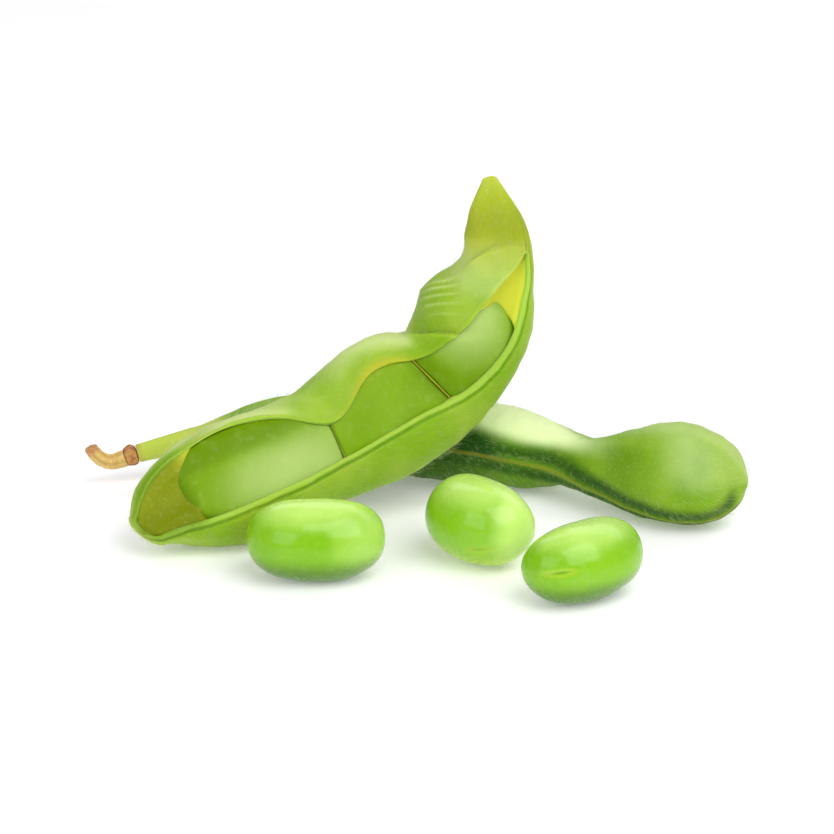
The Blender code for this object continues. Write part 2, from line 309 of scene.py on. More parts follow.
class Draft:
    """A piece in the making: points with their marks, and faces."""

    def __init__(self) -> None:
        """Start an empty piece."""
        self.points: list[np.ndarray] = []
        self.marks: list[Marks] = []
        self.faces: list[tuple[int, ...]] = []
        self.count = 0

    def add(self, points: np.ndarray, marks: Marks) -> np.ndarray:
        """Store a block of points.

        Args:
            points: The points, with x, y and z on the last axis.
            marks: For each mark, one value or a block of them.

        Returns:
            The points' numbers, in the block's own shape.
        """
        shape = points.shape[:-1]
        total = int(np.prod(shape))
        self.points.append(points.reshape(-1, 3))
        stored: Marks = {}
        for mark, value in marks.items():
            full = shape + (3,) if mark.is_vector else shape
            stored[mark] = np.broadcast_to(np.asarray(value, float), full).reshape(total, -1)
        self.marks.append(stored)
        numbers = np.arange(self.count, self.count + total).reshape(shape)
        self.count += total
        return numbers

    def weave(self, numbers: np.ndarray, closed: bool = False) -> None:
        """Fill the four-sided faces of a grid.

        Args:
            numbers: The grid's point numbers.
            closed: Whether each row's last point meets its first.
        """
        if closed:
            numbers = np.concatenate([numbers, numbers[:, :1]], axis=1)
        corners = (numbers[:-1, :-1], numbers[1:, :-1], numbers[1:, 1:], numbers[:-1, 1:])
        self.faces.extend(map(tuple, np.stack(corners, axis=-1).reshape(-1, 4).tolist()))

    def make(self, name: str, material: bpy.types.Material) -> bpy.types.Object:
        """Build the object, with doubled points welded and all faces pointing out.

        Args:
            name: The piece's name.
            material: Its finish.

        Returns:
            The new object.
        """
        mesh = bpy.data.meshes.new(name)
        mesh.from_pydata(np.concatenate(self.points).tolist(), [], self.faces)
        for mark in Mark:
            if any(mark in stored for stored in self.marks):
                width = 3 if mark.is_vector else 1
                blocks = [stored.get(mark, np.zeros((len(points), width)))
                          for stored, points in zip(self.marks, self.points)]
                kind, slot = ("FLOAT_VECTOR", "vector") if mark.is_vector else ("FLOAT", "value")
                layer = mesh.attributes.new(mark.value, kind, "POINT")
                layer.data.foreach_set(slot, np.concatenate(blocks).astype(np.float32).ravel())
        body = bmesh.new()
        body.from_mesh(mesh)
        bmesh.ops.remove_doubles(body, verts=body.verts, dist=WELD)
        bmesh.ops.dissolve_degenerate(body, edges=body.edges, dist=WELD)
        bmesh.ops.recalc_face_normals(body, faces=body.faces)
        body.to_mesh(mesh)
        body.free()
        mesh.shade_smooth()
        mesh.materials.append(material)
        return add_object(name, mesh)


def tube(name: str, rings: np.ndarray, marks: Marks, material: bpy.types.Material) -> bpy.types.Object:
    """Make a piece whose skin is one line of closed rings.

    Args:
        name: The piece's name.
        rings: The rings.
        marks: The values stored on their points.
        material: The piece's finish.

    Returns:
        The new object.
    """
    draft = Draft()
    draft.weave(draft.add(rings, marks), closed=True)
    return draft.make(name, material)


def colour(code: str) -> tuple[float, float, float, float]:
    """Turn an sRGB hex code into the linear colour that Blender's sockets hold.

    Args:
        code: The colour, such as "#93b832".

    Returns:
        Red, green, blue and alpha.
    """
    parts = (int(code[i:i + 2], 16) / 255.0 for i in (1, 3, 5))
    linear = (part / 12.92 if part <= 0.04045 else ((part + 0.055) / 1.055) ** 2.4 for part in parts)
    return (*linear, 1.0)


def add_node(tree: bpy.types.NodeTree, kind: str, settings: dict[str, object] | None = None,
             links: dict[str | int, object] | None = None) -> bpy.types.Node:
    """Add a node with its settings and links.

    Args:
        tree: The tree that gets the node.
        kind: The node's type.
        settings: The node's own properties.
        links: For each input, by name or number, a socket or a node to link from, or a value.

    Returns:
        The new node.
    """
    node = tree.nodes.new(kind)
    for name, value in (settings or {}).items():
        setattr(node, name, value)
    for key, value in (links or {}).items():
        if isinstance(key, int):
            socket = node.inputs[key]
        else:
            socket = next(one for one in node.inputs if one.enabled and one.name == key)
        if isinstance(value, bpy.types.Node):
            value = next(one for one in value.outputs if one.enabled)
        if isinstance(value, bpy.types.NodeSocket):
            tree.links.new(value, socket)
        else:
            socket.default_value = value
    return node


def ease(tree: bpy.types.NodeTree, value: object, start: float, full: float,
         top: float = 1.0) -> bpy.types.Node:
    """Add a node that goes smoothly from 0 at the start to the top at the full value.

    Args:
        tree: The tree that gets the node.
        value: The node or socket to read.
        start: Where it leaves 0.
        full: Where it reaches the top.
        top: The value it reaches.

    Returns:
        The new node.
    """
    return add_node(tree, "ShaderNodeMapRange", {"interpolation_type": "SMOOTHSTEP"},
                    {"Value": value, "From Min": start, "From Max": full, "To Max": top})


def mix(tree: bpy.types.NodeTree, amount: object, under: object, over: object,
        blend: Blend = Blend.COVER) -> bpy.types.Node:
    """Add a node that lays one colour over another.

    Args:
        tree: The tree that gets the node.
        amount: How far the upper colour covers.
        under: The lower colour.
        over: The upper colour.
        blend: How it is laid.

    Returns:
        The new node.
    """
    return add_node(tree, "ShaderNodeMix", {"data_type": "RGBA", "blend_type": blend.value},
                    {"Factor": amount, "A": under, "B": over})


def calculate(tree: bpy.types.NodeTree, operation: str, *values: object) -> bpy.types.Node:
    """Add a node that does one sum on sockets, nodes or numbers."""
    return add_node(tree, "ShaderNodeMath", {"operation": operation}, dict(enumerate(values)))


@dataclass(frozen=True)
class Tint:
    """A colour laid over a finish where a mark passes from one value to another.

    The edge of the tint wanders by the finish's own patches, as ripeness does on a real pod.
    """

    mark: Mark
    start: float
    full: float
    shade: str
    share: float = 1.0
    wander: float = 0.0
    blend: Blend = Blend.COVER


@dataclass(frozen=True)
class Grain:
    """Relief too fine for the mesh: its size, how far it is drawn out along the piece, and its height."""

    size: float
    height: float
    stretch: float = 1.0
    detail: float = 2.0


@dataclass(frozen=True)
class Finish:
    """The surface of one plant part: a base colour in patches, tints laid over it, gloss and fine relief."""

    name: str
    base: str
    patch: str
    patch_size: float
    tints: tuple[Tint, ...] = ()
    speck: str = "#ffffff"
    speck_share: float = 0.0
    speck_size: float = 0.5 * MM
    roughness: float = 0.5
    roughness_spread: float = 0.08
    grains: tuple[Grain, ...] = ()
    subsurface: float = 0.0
    subsurface_radius: tuple[float, float, float] = (0.6, 1.0, 0.25)
    subsurface_scale: float = 1.0 * MM
    sheen: float = 0.0
    sheen_roughness: float = 0.5
    sheen_tint: str = "#ffffff"
    coat: float = 0.0
    coat_roughness: float = 0.1
    specular: float = 0.5
    ior: float = 1.45

    def dress(self) -> bpy.types.Material:
        """Build the material.

        Returns:
            The finished material.
        """
        material = bpy.data.materials.new(self.name)
        material.use_nodes = True
        tree = material.node_tree
        tree.nodes.clear()
        place = add_node(tree, "ShaderNodeTexCoord").outputs["Object"]
        patches = add_node(tree, "ShaderNodeTexNoise", None,
                           {"Vector": place, "Scale": 1.0 / self.patch_size, "Detail": 3.0})
        look = mix(tree, ease(tree, patches.outputs[0], *PATCH_EDGE), colour(self.base), colour(self.patch))
        for tint in self.tints:
            look = self._lay(tree, tint, patches.outputs[0], look)
        specks = add_node(tree, "ShaderNodeTexNoise", None,
                          {"Vector": place, "Scale": 1.0 / self.speck_size, "Detail": 2.0})
        few = ease(tree, specks.outputs[0], *SPECK_EDGE, self.speck_share)
        look = mix(tree, few, look, colour(self.speck))
        dull = add_node(tree, "ShaderNodeMapRange", None,
                        {"Value": specks.outputs[0], "From Min": 0.3, "From Max": 0.7,
                         "To Min": self.roughness - self.roughness_spread,
                         "To Max": self.roughness + self.roughness_spread})
        shader = add_node(tree, "ShaderNodeBsdfPrincipled", {"subsurface_method": "RANDOM_WALK"}, {
            "Base Color": look, "Roughness": dull, "IOR": self.ior,
            "Specular IOR Level": self.specular,
            "Subsurface Weight": self.subsurface, "Subsurface Radius": self.subsurface_radius,
            "Subsurface Scale": self.subsurface_scale,
            "Sheen Weight": self.sheen, "Sheen Roughness": self.sheen_roughness,
            "Sheen Tint": colour(self.sheen_tint),
            "Coat Weight": self.coat, "Coat Roughness": self.coat_roughness,
        })
        relief = self._relief(tree, place)
        if relief:
            tree.links.new(relief.outputs["Normal"], shader.inputs["Normal"])
        add_node(tree, "ShaderNodeOutputMaterial", None, {"Surface": shader})
        return material

    def _lay(self, tree: bpy.types.NodeTree, tint: Tint, patches: bpy.types.NodeSocket,
             under: bpy.types.Node) -> bpy.types.Node:
        """Lay one tint over the colour so far.

        Args:
            tree: The material's tree.
            tint: The tint.
            patches: The noise that the tint's edge wanders by.
            under: The node that gives the colour so far.

        Returns:
            The node that gives the new colour.
        """
        mark = add_node(tree, "ShaderNodeAttribute", {"attribute_name": tint.mark.value})
        shift = calculate(tree, "MULTIPLY_ADD", patches, 2.0 * tint.wander, -tint.wander)
        value = calculate(tree, "ADD", mark.outputs["Fac"], shift)
        amount = ease(tree, value, tint.start, tint.full, tint.share)
        return mix(tree, amount, under, colour(tint.shade), tint.blend)

    def _relief(self, tree: bpy.types.NodeTree, place: bpy.types.NodeSocket) -> bpy.types.Node | None:
        """Chain the bumps of the finish's grains.

        Args:
            tree: The material's tree.
            place: Object coordinates.

        Returns:
            The last bump, or nothing where the finish is smooth.
        """
        bump = None
        for grain in self.grains:
            source = place
            if grain.stretch != 1.0:
                skin = add_node(tree, "ShaderNodeAttribute", {"attribute_name": Mark.SKIN.value})
                source = add_node(tree, "ShaderNodeMapping", None,
                                  {"Vector": skin.outputs["Vector"], "Scale": (1.0 / grain.stretch, 1.0, 1.0),
                                   "Rotation": (0.0, 0.0, radians(24.0))})
            noise = add_node(tree, "ShaderNodeTexNoise", None,
                             {"Vector": source, "Scale": 1.0 / grain.size, "Detail": grain.detail})
            links = {"Strength": 1.0, "Distance": grain.height, "Height": noise.outputs[0]}
            if bump:
                links["Normal"] = bump
            bump = add_node(tree, "ShaderNodeBump", None, links)
        return bump


# Fresh soybean hull: a thin waxy leaf-green shell, matt through its fuzz, that lets some light through. Its
# inner wall is a smooth yellow-green membrane, and the torn lips show a pale cut edge with a dark vein.
# Painted highlight pales the upper valve's top, the apex and the flap's wrinkles. Painted light brightens the
# lower valve over the first chamber, and painted shade darkens the foot and the apex past its fold.
HULL = Finish(
    name="fresh soybean hull",
    base="#86ae1c",
    patch="#9dbb38",
    patch_size=7.0 * MM,
    tints=(
        # Painted highlight, and the paler tip.
        Tint(Mark.PALE_AND_HIGHLIGHT, 0.1, 1.0, "#cadb8a", 0.85, 0.25),
        Tint(Mark.DEEP_AND_SHADE, 0.1, 0.9, "#6f9a3c", 0.85, 0.3),
        Tint(Mark.LINE, 0.2, 0.9, "#6b9a08", 0.85),
        Tint(Mark.INNER, 0.3, 0.7, "#cbd03a", 1.0),
        Tint(Mark.EDGE, 0.2, 0.9, "#a3c64a", 0.85),
        # The apex's yellower tone and the orange lip, and painted light on the lower valve.
        Tint(Mark.WARM, 0.1, 0.9, "#b4b92c", 0.85, 0.2),
        Tint(Mark.DRY, 0.15, 0.85, "#a98742", 0.8, 0.2),
        # Painted shade.
        Tint(Mark.PAINTED_SHADE, 0.0, 1.0, "#96a310", 1.0, 0.05, Blend.DARKEN),
    ),
    speck="#d6e2a0",
    speck_share=0.08,
    speck_size=0.5 * MM,
    roughness=0.5,
    grains=(Grain(1.8 * MM, 0.07 * MM, 4.0), Grain(0.5 * MM, 0.02 * MM)),
    subsurface=0.5,
    subsurface_radius=(1.2, 1.6, 0.3),
    sheen=0.05,
    sheen_tint="#eef2c8",
    specular=0.12,
)

# Whole soybean hull of the closed pod: the same skin, riper, with deep green along its front seam. Over
# its left half the front is darkened by deep green and painted shade, and painted highlight pales its top,
# bleached nearly white over the middle, and its back.
RIPE_HULL = Finish(
    name="ripe soybean hull",
    base="#6d9c0a",
    patch="#86ad28",
    patch_size=8.0 * MM,
    tints=(
        # Painted highlight.
        Tint(Mark.PALE_AND_HIGHLIGHT, 0.0, 1.0, "#e2f0b4", 0.95, 0.08),
        # Deep green, and painted shade.
        Tint(Mark.DEEP_AND_SHADE, 0.1, 0.95, "#184712", 0.97, 0.2),
        Tint(Mark.LINE, 0.3, 0.95, "#86842a", 0.6, 0.2),
        Tint(Mark.WARM, 0.1, 0.9, "#bccb50", 0.9, 0.3),
        Tint(Mark.DRY, 0.15, 0.85, "#b8a04e", 0.6, 0.25),
    ),
    speck="#cadb92",
    speck_share=0.1,
    speck_size=0.5 * MM,
    roughness=0.48,
    grains=(Grain(1.8 * MM, 0.08 * MM, 4.0), Grain(0.5 * MM, 0.02 * MM)),
    subsurface=0.35,
    sheen=0.02,
    sheen_tint="#e2ecb0",
    specular=0.09,
)

# Raw bean still under its thin moist skin: satin, with a painted highlight where it faces the light, and
# painted shade where the pod's valves shade its top and ends.
MOIST_BEAN = Finish(
    name="moist bean skin",
    base="#799f0e",
    patch="#82a816",
    patch_size=6.0 * MM,
    tints=(
        # Painted highlight.
        Tint(Mark.PALE_AND_HIGHLIGHT, 0.1, 1.0, "#b4cc76", 0.9, 0.15),
        Tint(Mark.WARM, 0.1, 0.9, "#8ea603", 0.85, 0.2),
        # Painted shade.
        Tint(Mark.DEEP_AND_SHADE, 0.1, 0.9, "#688c02", 0.9, 0.2),
    ),
    speck="#c6dc92",
    speck_share=0.08,
    speck_size=0.9 * MM,
    roughness=0.4,
    roughness_spread=0.05,
    grains=(Grain(1.4 * MM, 0.02 * MM),),
    subsurface=0.5,
    coat=0.03,
    coat_roughness=0.3,
    specular=0.08,
)

# Shelled bean: bright yellow-green, firm and glossy like wet fruit, a little translucent. Painted highlight
# lies on its top and towards one end, painted shade on its underside, and on one bean painted light from the
# table on its underside.
GLOSSY_BEAN = Finish(
    name="shelled bean skin",
    base="#7fb810",
    patch="#8ac11c",
    patch_size=7.0 * MM,
    tints=(
        # Painted highlight.
        Tint(Mark.PALE_AND_HIGHLIGHT, 0.1, 1.0, "#cbef7c", 0.95, 0.15),
        # The hilum's warm tone, and painted light from the table under one bean.
        Tint(Mark.WARM, 0.1, 0.9, "#b9d23c", 0.7, 0.2),
        # Painted shade, and the hilum's dark line.
        Tint(Mark.DEEP_AND_SHADE, 0.1, 0.9, "#4f790a", 0.9, 0.1),
    ),
    speck="#d6f08c",
    speck_share=0.06,
    speck_size=0.7 * MM,
    roughness=0.27,
    roughness_spread=0.03,
    grains=(Grain(1.4 * MM, 0.008 * MM),),
    subsurface=0.45,
    coat=0.55,
    coat_roughness=0.12,
    specular=0.1,
)

# Dried sepal: reddish brown and papery.
PAPERY_SEPAL = Finish(
    name="papery sepal",
    base="#8a4a26",
    patch="#c08a4c",
    patch_size=1.2 * MM,
    speck="#d9b98a",
    speck_share=0.5,
    speck_size=0.25 * MM,
    roughness=0.75,
    grains=(Grain(0.3 * MM, 0.05 * MM),),
    subsurface=0.15,
)

# Stalk: tan, woody and faintly ribbed, with a pink-brown broken end.
WOODY_STALK = Finish(
    name="woody stalk",
    base="#cfa95c",
    patch="#d9bd76",
    patch_size=2.0 * MM,
    tints=(Tint(Mark.DRY, 0.1, 0.9, "#b9714a", 0.85, 0.2), Tint(Mark.DEEP_AND_SHADE, 0.1, 0.9, "#a98a3c", 0.5)),
    speck="#efdcae",
    speck_share=0.4,
    speck_size=0.3 * MM,
    roughness=0.6,
    grains=(Grain(0.5 * MM, 0.05 * MM, 3.0),),
    subsurface=0.3,
)

# Hair of a soybean pod: a stiff, pale, glassy bristle.
PALE_HAIR = Finish(
    name="pale pod hair",
    base="#b6c682",
    patch="#cad79a",
    patch_size=5.0 * MM,
    roughness=0.45,
    subsurface=0.2,
)


@dataclass(frozen=True)
class Hairs:
    """Short hairs that lie along a pod, grown on its skin by Geometry Nodes."""

    per_square_mm: float = 2.8
    length: float = 1.1 * MM
    length_spread: float = 0.5
    thickness: float = 0.012 * MM
    lean: float = 0.8
    rise: float = 0.62
    sunk: float = 0.04
    tip_share: float = 0.15
    scatter: float = 0.3
    seed: int = Seed.HULL_HAIRS

    def _tree(self) -> bpy.types.NodeTree:
        """Build the node tree that grows the hairs.

        Returns:
            The tree, with named inputs for the sizes.
        """
        tree = bpy.data.node_groups.new("pod hairs", "GeometryNodeTree")
        tree.interface.new_socket("Skin", in_out="INPUT", socket_type="NodeSocketGeometry")
        for name in ("Hairs per square metre", "Length", "Shortest share", "Thickness", "Lean", "Scatter"):
            tree.interface.new_socket(name, in_out="INPUT", socket_type="NodeSocketFloat")
        tree.interface.new_socket("Finish", in_out="INPUT", socket_type="NodeSocketMaterial")
        tree.interface.new_socket("Hairs", in_out="OUTPUT", socket_type="NodeSocketGeometry")
        sizes = add_node(tree, "NodeGroupInput").outputs
        hairy = add_node(tree, "GeometryNodeInputNamedAttribute", {"data_type": "FLOAT"},
                         {"Name": Mark.HAIRY.value})
        density = calculate(tree, "MULTIPLY", hairy, sizes["Hairs per square metre"])
        roots = add_node(tree, "GeometryNodeDistributePointsOnFaces", None,
                         {"Mesh": sizes["Skin"], "Density": density, "Seed": self.seed})
        tip = add_node(tree, "ShaderNodeCombineXYZ", None, {"X": sizes["Lean"], "Z": self.rise})
        spine = add_node(tree, "GeometryNodeCurveQuadraticBezier", None,
                         {"Resolution": 3, "Start": (0.0, 0.0, -self.sunk), "Middle": (0.1, 0.0, 0.45),
                          "End": tip})
        done = add_node(tree, "GeometryNodeSplineParameter").outputs["Factor"]
        taper = add_node(tree, "ShaderNodeMapRange", None,
                         {"Value": done, "To Min": 1.0, "To Max": self.tip_share})
        ring = add_node(tree, "GeometryNodeCurvePrimitiveCircle", None,
                        {"Resolution": 3, "Radius": 1.0})
        width = calculate(tree, "DIVIDE", sizes["Thickness"], sizes["Length"])
        girth = calculate(tree, "MULTIPLY", taper, width)
        hair = add_node(tree, "GeometryNodeCurveToMesh", None,
                        {"Curve": spine, "Profile Curve": ring, "Scale": girth, "Fill Caps": True})
        up = add_node(tree, "FunctionNodeAlignRotationToVector", {"axis": "Z"},
                      {"Vector": roots.outputs["Normal"]})
        flow = add_node(tree, "GeometryNodeInputNamedAttribute", {"data_type": "FLOAT_VECTOR"},
                        {"Name": Mark.FLOW.value})
        lying = add_node(tree, "FunctionNodeAlignRotationToVector", {"axis": "X", "pivot_axis": "Z"},
                         {"Rotation": up, "Vector": flow})
        less = calculate(tree, "MULTIPLY", sizes["Scatter"], -1.0)
        low, high = (add_node(tree, "ShaderNodeCombineXYZ", None, dict.fromkeys("XYZ", most))
                     for most in (less, sizes["Scatter"]))
        tilt = add_node(tree, "FunctionNodeRandomValue", {"data_type": "FLOAT_VECTOR"},
                        {"Min": low, "Max": high, "Seed": self.seed + 1})
        turned = add_node(tree, "FunctionNodeRotateRotation", {"rotation_space": "LOCAL"},
                          {"Rotation": lying, "Rotate By": add_node(
                              tree, "FunctionNodeEulerToRotation", None, {"Euler": tilt})})
        share = add_node(tree, "FunctionNodeRandomValue", {"data_type": "FLOAT"},
                         {"Min": sizes["Shortest share"], "Max": 1.0, "Seed": self.seed + 2})
        size = calculate(tree, "MULTIPLY", share, sizes["Length"])
        grown = add_node(tree, "GeometryNodeInstanceOnPoints", None,
                         {"Points": roots, "Instance": hair, "Rotation": turned, "Scale": size})
        real = add_node(tree, "GeometryNodeRealizeInstances", None, {"Geometry": grown})
        dressed = add_node(tree, "GeometryNodeSetMaterial", None,
                           {"Geometry": real, "Material": sizes["Finish"]})
        add_node(tree, "NodeGroupOutput", None, {"Hairs": dressed})
        return tree

    def grow(self, host: bpy.types.Object, name: str, material: bpy.types.Material) -> bpy.types.Object:
        """Grow the hairs on a pod as a plain mesh of their own.

        Args:
            host: The pod, whose marks say where and which way the hairs lie.
            name: The new piece's name.
            material: The hairs' finish.

        Returns:
            The hairs.
        """
        tree = self._tree()
        grower = host.modifiers.new("hairs", "NODES")
        grower.node_group = tree
        values = {"Hairs per square metre": self.per_square_mm / MM**2, "Length": self.length,
                  "Shortest share": 1.0 - self.length_spread, "Thickness": self.thickness,
                  "Lean": self.lean, "Scatter": self.scatter, "Finish": material}
        for socket in tree.interface.items_tree:
            if socket.name in values:
                grower[socket.identifier] = values[socket.name]
        ready = host.evaluated_get(bpy.context.evaluated_depsgraph_get())
        mesh = bpy.data.meshes.new_from_object(ready)
        host.modifiers.remove(grower)
        mesh.name = name
        mesh.shade_smooth()
        return add_object(name, mesh)


@dataclass(frozen=True)
class Septum:
    """A wall between two chambers.

    It stands at the place, and the hollow closes by a share around it over the spread, both counted in
    stations. Its free edge reaches that share of the way to the pod's front, and may have browned; the
    rest of it has yellowed by its own share.
    """

    place: float
    spread: float
    closes: float
    edge: float
    thickness: float
    browned: float = 0.0
    yellowed: float = 0.0


@dataclass(frozen=True)
class Fold:
    """A fold where the upper valve steps in. All lengths along the pod are counted in stations.

    At the level turn, in degrees, the fold's line crosses the pod at the place. From there it leans
    towards the pod's foot by so much for each radian round the pod, and bows by so much for each squared
    radian. The skin steps in over the fall before the line, and comes out again over the rise after it.
    """

    place: float
    level: float
    lean: float
    bow: float
    drop: float
    fall: float
    rise: float
    middle_turn: float
    half_turn: float

    def line(self, turn: np.ndarray) -> np.ndarray:
        """Say where along the pod the fold's line lies for each turn, in radians."""
        away = turn - radians(self.level)
        return self.place - self.lean * away - self.bow * away**2


@dataclass(frozen=True)
class OpenPod:
    """The opened pod: two valves grown together at the back and at both ends, with septa inside."""

    stations: Rows = OPEN_POD_STATIONS
    nub: tuple[float, float, float] = (-29.8, -3.1, 3.0)
    facing: tuple[float, float, float] = (0.0, -0.94, 0.342)
    slit_closes: float = 11.0
    hollow_ends: float = 11.5
    wall: float = 1.1 * MM
    squareness: float = 2.3
    closing: float = 0.6
    lip_thinning: tuple[float, float] = (0.68, 0.45)
    lip_reach: float = 20.0
    foot_shallows: float = 0.88
    tip_shallows: float = 0.84
    septa: tuple[Septum, ...] = (
        Septum(place=4.96, spread=0.14, closes=0.04, edge=0.86, thickness=0.1 * MM),
        Septum(place=7.36, spread=0.14, closes=0.05, edge=0.9, thickness=0.25 * MM, browned=0.35,
               yellowed=1.0),
    )
    folds: tuple[Fold, ...] = (
        Fold(place=8.7, level=0.0, lean=0.72, bow=0.0, drop=1.0 * MM, fall=0.02, rise=0.7,
             middle_turn=40.0, half_turn=75.0),
        Fold(place=7.75, level=90.0, lean=0.0, bow=0.0, drop=0.6 * MM, fall=0.2, rise=0.2,
             middle_turn=90.0, half_turn=50.0),
        Fold(place=11.18, level=-30.0, lean=0.0, bow=0.415, drop=0.9 * MM, fall=0.02, rise=1.5,
             middle_turn=15.0, half_turn=80.0),
    )
    rings_per_station: int = 14
    ring_points: int = 112
    lip_points: int = 5
    end_rings: int = 7
    lip_bulges: tuple[float, float] = (0.05 * MM, 0.15 * MM)
    lumps: float = 0.09 * MM
    fine_lumps: float = 0.03 * MM
    wall_lumps: float = 0.04 * MM
    lip_groove: float = 0.14 * MM
    back_ridge: float = 0.14 * MM
    wrinkle_height: float = 0.13 * MM
    wrinkle_spacing: float = 0.36
    foot_crease: float = 0.45 * MM

    def frame_at(self, at: np.ndarray) -> tuple[np.ndarray, np.ndarray, np.ndarray, np.ndarray, np.ndarray]:
        """Read the middle line.

        Args:
            at: Places along the pod, counted in stations.

        Returns:
            The middle points, the front and the up directions, the four reaches and the two lip angles.
        """
        rows = spline_rows(self.stations, at)
        ahead = spline_rows(self.stations, at + 0.01)[:, :3]
        behind = spline_rows(self.stations, at - 0.01)[:, :3]
        along = unit(ahead - behind)
        facing = np.array(self.facing)
        front = unit(facing - (along @ facing)[:, None] * along)
        up = np.cross(front, along)
        lips = np.radians(rows[:, 7:9])
        opened = np.sqrt(np.clip((self.slit_closes - at) / self.closing, 0.0, 1.0))[:, None]
        lips = lips.mean(axis=1, keepdims=True) * (1.0 - opened) + lips * opened
        return rows[:, :3] * MM, front, up, rows[:, 3:7] * MM, lips

    def section(self, lines: tuple[np.ndarray, np.ndarray, np.ndarray], reach: np.ndarray,
                turn: np.ndarray, drop: np.ndarray | float = 0.0) -> np.ndarray:
        """Place points round the middle line.

        Args:
            lines: The middle points, the front and the up directions.
            reach: Each ring's reach to the upper valve, the lower valve, the front and the back.
            turn: The angle from the front towards the upper valve.
            drop: How far each point is moved in.

        Returns:
            The points.
        """
        middle, front, up = lines
        across, rise = squared(np.cos(turn), self.squareness), squared(np.sin(turn), self.squareness)
        depth = np.where(across > 0.0, reach[:, 2:3], reach[:, 3:4])
        breadth = np.where(rise > 0.0, reach[:, 0:1], reach[:, 1:2])
        out = (across * depth)[..., None] * front[:, None] + (rise * breadth)[..., None] * up[:, None]
        length = np.maximum(np.linalg.norm(out, axis=-1), 1e-9)
        return middle[:, None] + out * np.maximum(1.0 - drop / length, 0.4)[..., None]

    def fold_drop(self, at: np.ndarray, turn: np.ndarray) -> np.ndarray:
        """Say how far the folds move each point of the skin in."""
        drop = np.zeros_like(turn)
        for fold in self.folds:
            away = np.clip((np.degrees(turn) - fold.middle_turn) / fold.half_turn, -1.0, 1.0)
            past = at[:, None] - fold.line(turn)
            reach = np.where(past > 0.0, fold.rise, fold.fall)
            drop += fold.drop * np.cos(0.5 * pi * away) * np.exp(-np.abs(past) / reach)
        return drop

    def wall_at(self, turn: np.ndarray, reach: np.ndarray, lips: np.ndarray) -> np.ndarray:
        """Say how thick the wall is: it thins towards each lip, and where the pod is slim.

        Args:
            turn: The angles round each ring.
            reach: The four reaches of each ring.
            lips: The turns of the upper and the lower lip.

        Returns:
            The thickness for each point.
        """
        wall = np.minimum(self.wall, 0.45 * reach.min(axis=1, keepdims=True))
        thin = np.zeros_like(turn)
        for lip, thinning in zip((lips[:, :1], lips[:, 1:]), self.lip_thinning):
            away = np.degrees(np.abs((turn - lip + pi) % (2.0 * pi) - pi))
            thin += thinning * hump(away, 0.0, self.lip_reach)
        return wall * (1.0 - np.minimum(thin, max(self.lip_thinning)))

    def _places(self) -> np.ndarray:
        """List the rings' places along the pod, closer together at the folds."""
        last = len(self.stations) - 1
        places = [np.linspace(0.0, last, last * self.rings_per_station + 1)]
        for fold in self.folds:
            if fold.fall < 0.1:
                line = fold.line(np.radians(np.linspace(-20.0, 100.0, 25)))
                places.append(np.arange(line.min() - 0.05, line.max() + 0.05, 0.03))
        return np.unique(np.round(np.concatenate(places), 4))

    def build(self, material: bpy.types.Material) -> bpy.types.Object:
        """Build the hull: outer skin, inner wall, rounded lips and septa.

        Args:
            material: The hull's finish.

        Returns:
            The hull.
        """
        at = self._places()
        middle, front, up, reach, lips = self.frame_at(at)
        lines = (middle, front, up)
        slit = int(np.searchsorted(at, self.slit_closes - 1e-6))
        hollow = int(np.searchsorted(at, self.hollow_ends - 1e-6))
        upper = np.where(np.arange(len(at))[:, None] < slit, lips[:, :1], lips[:, 1:])
        step = np.linspace(0.0, 1.0, self.ring_points + 1)
        step = step - 0.8 * np.sin(2.0 * pi * step) / (2.0 * pi)
        turn = upper + (2.0 * pi - upper + lips[:, 1:]) * step
        drop = self.fold_drop(at, turn)
        narrowing = np.ones(len(at))
        for septum in self.septa:
            narrowing -= septum.closes * hump(at, septum.place, septum.spread)
        wall = self.wall_at(turn, reach, lips)
        outer = self.section(lines, reach, turn, drop)
        inner = self.section(lines, reach * narrowing[:, None], turn, drop + wall)[:hollow + 1]
        draft = Draft()
        outer = self._shape_outer(outer, at, turn, middle, reach)
        inner = self._shape_inner(inner, at, turn, middle)
        outer, inner = self._close_ends(outer, inner)
        self._lay_skins(draft, outer, inner, slit + self.end_rings, at, turn)
        for septum in self.septa:
            self._add_septum(draft, septum)
        return draft.make("open_pod_hull", material)

    def _wrinkles(self, place: np.ndarray, turn: np.ndarray) -> np.ndarray:
        """Say how high the flap's skin wrinkles, in soft ridges alongside its top edge.

        Args:
            place: Each ring's place along the pod.
            turn: The angles round each ring.

        Returns:
            The height for each point, from nothing to one.
        """
        past = place - self.folds[-1].line(turn)
        count = past / self.wrinkle_spacing + 0.1 * np.sin(3.0 * turn)
        ridges = (0.5 + 0.5 * np.cos(2.0 * pi * count)) ** 2
        return ridges * ramp(past, -0.05, -0.4) * ramp(place, 8.5, 9.0) * hump(np.degrees(turn), 80.0, 65.0)

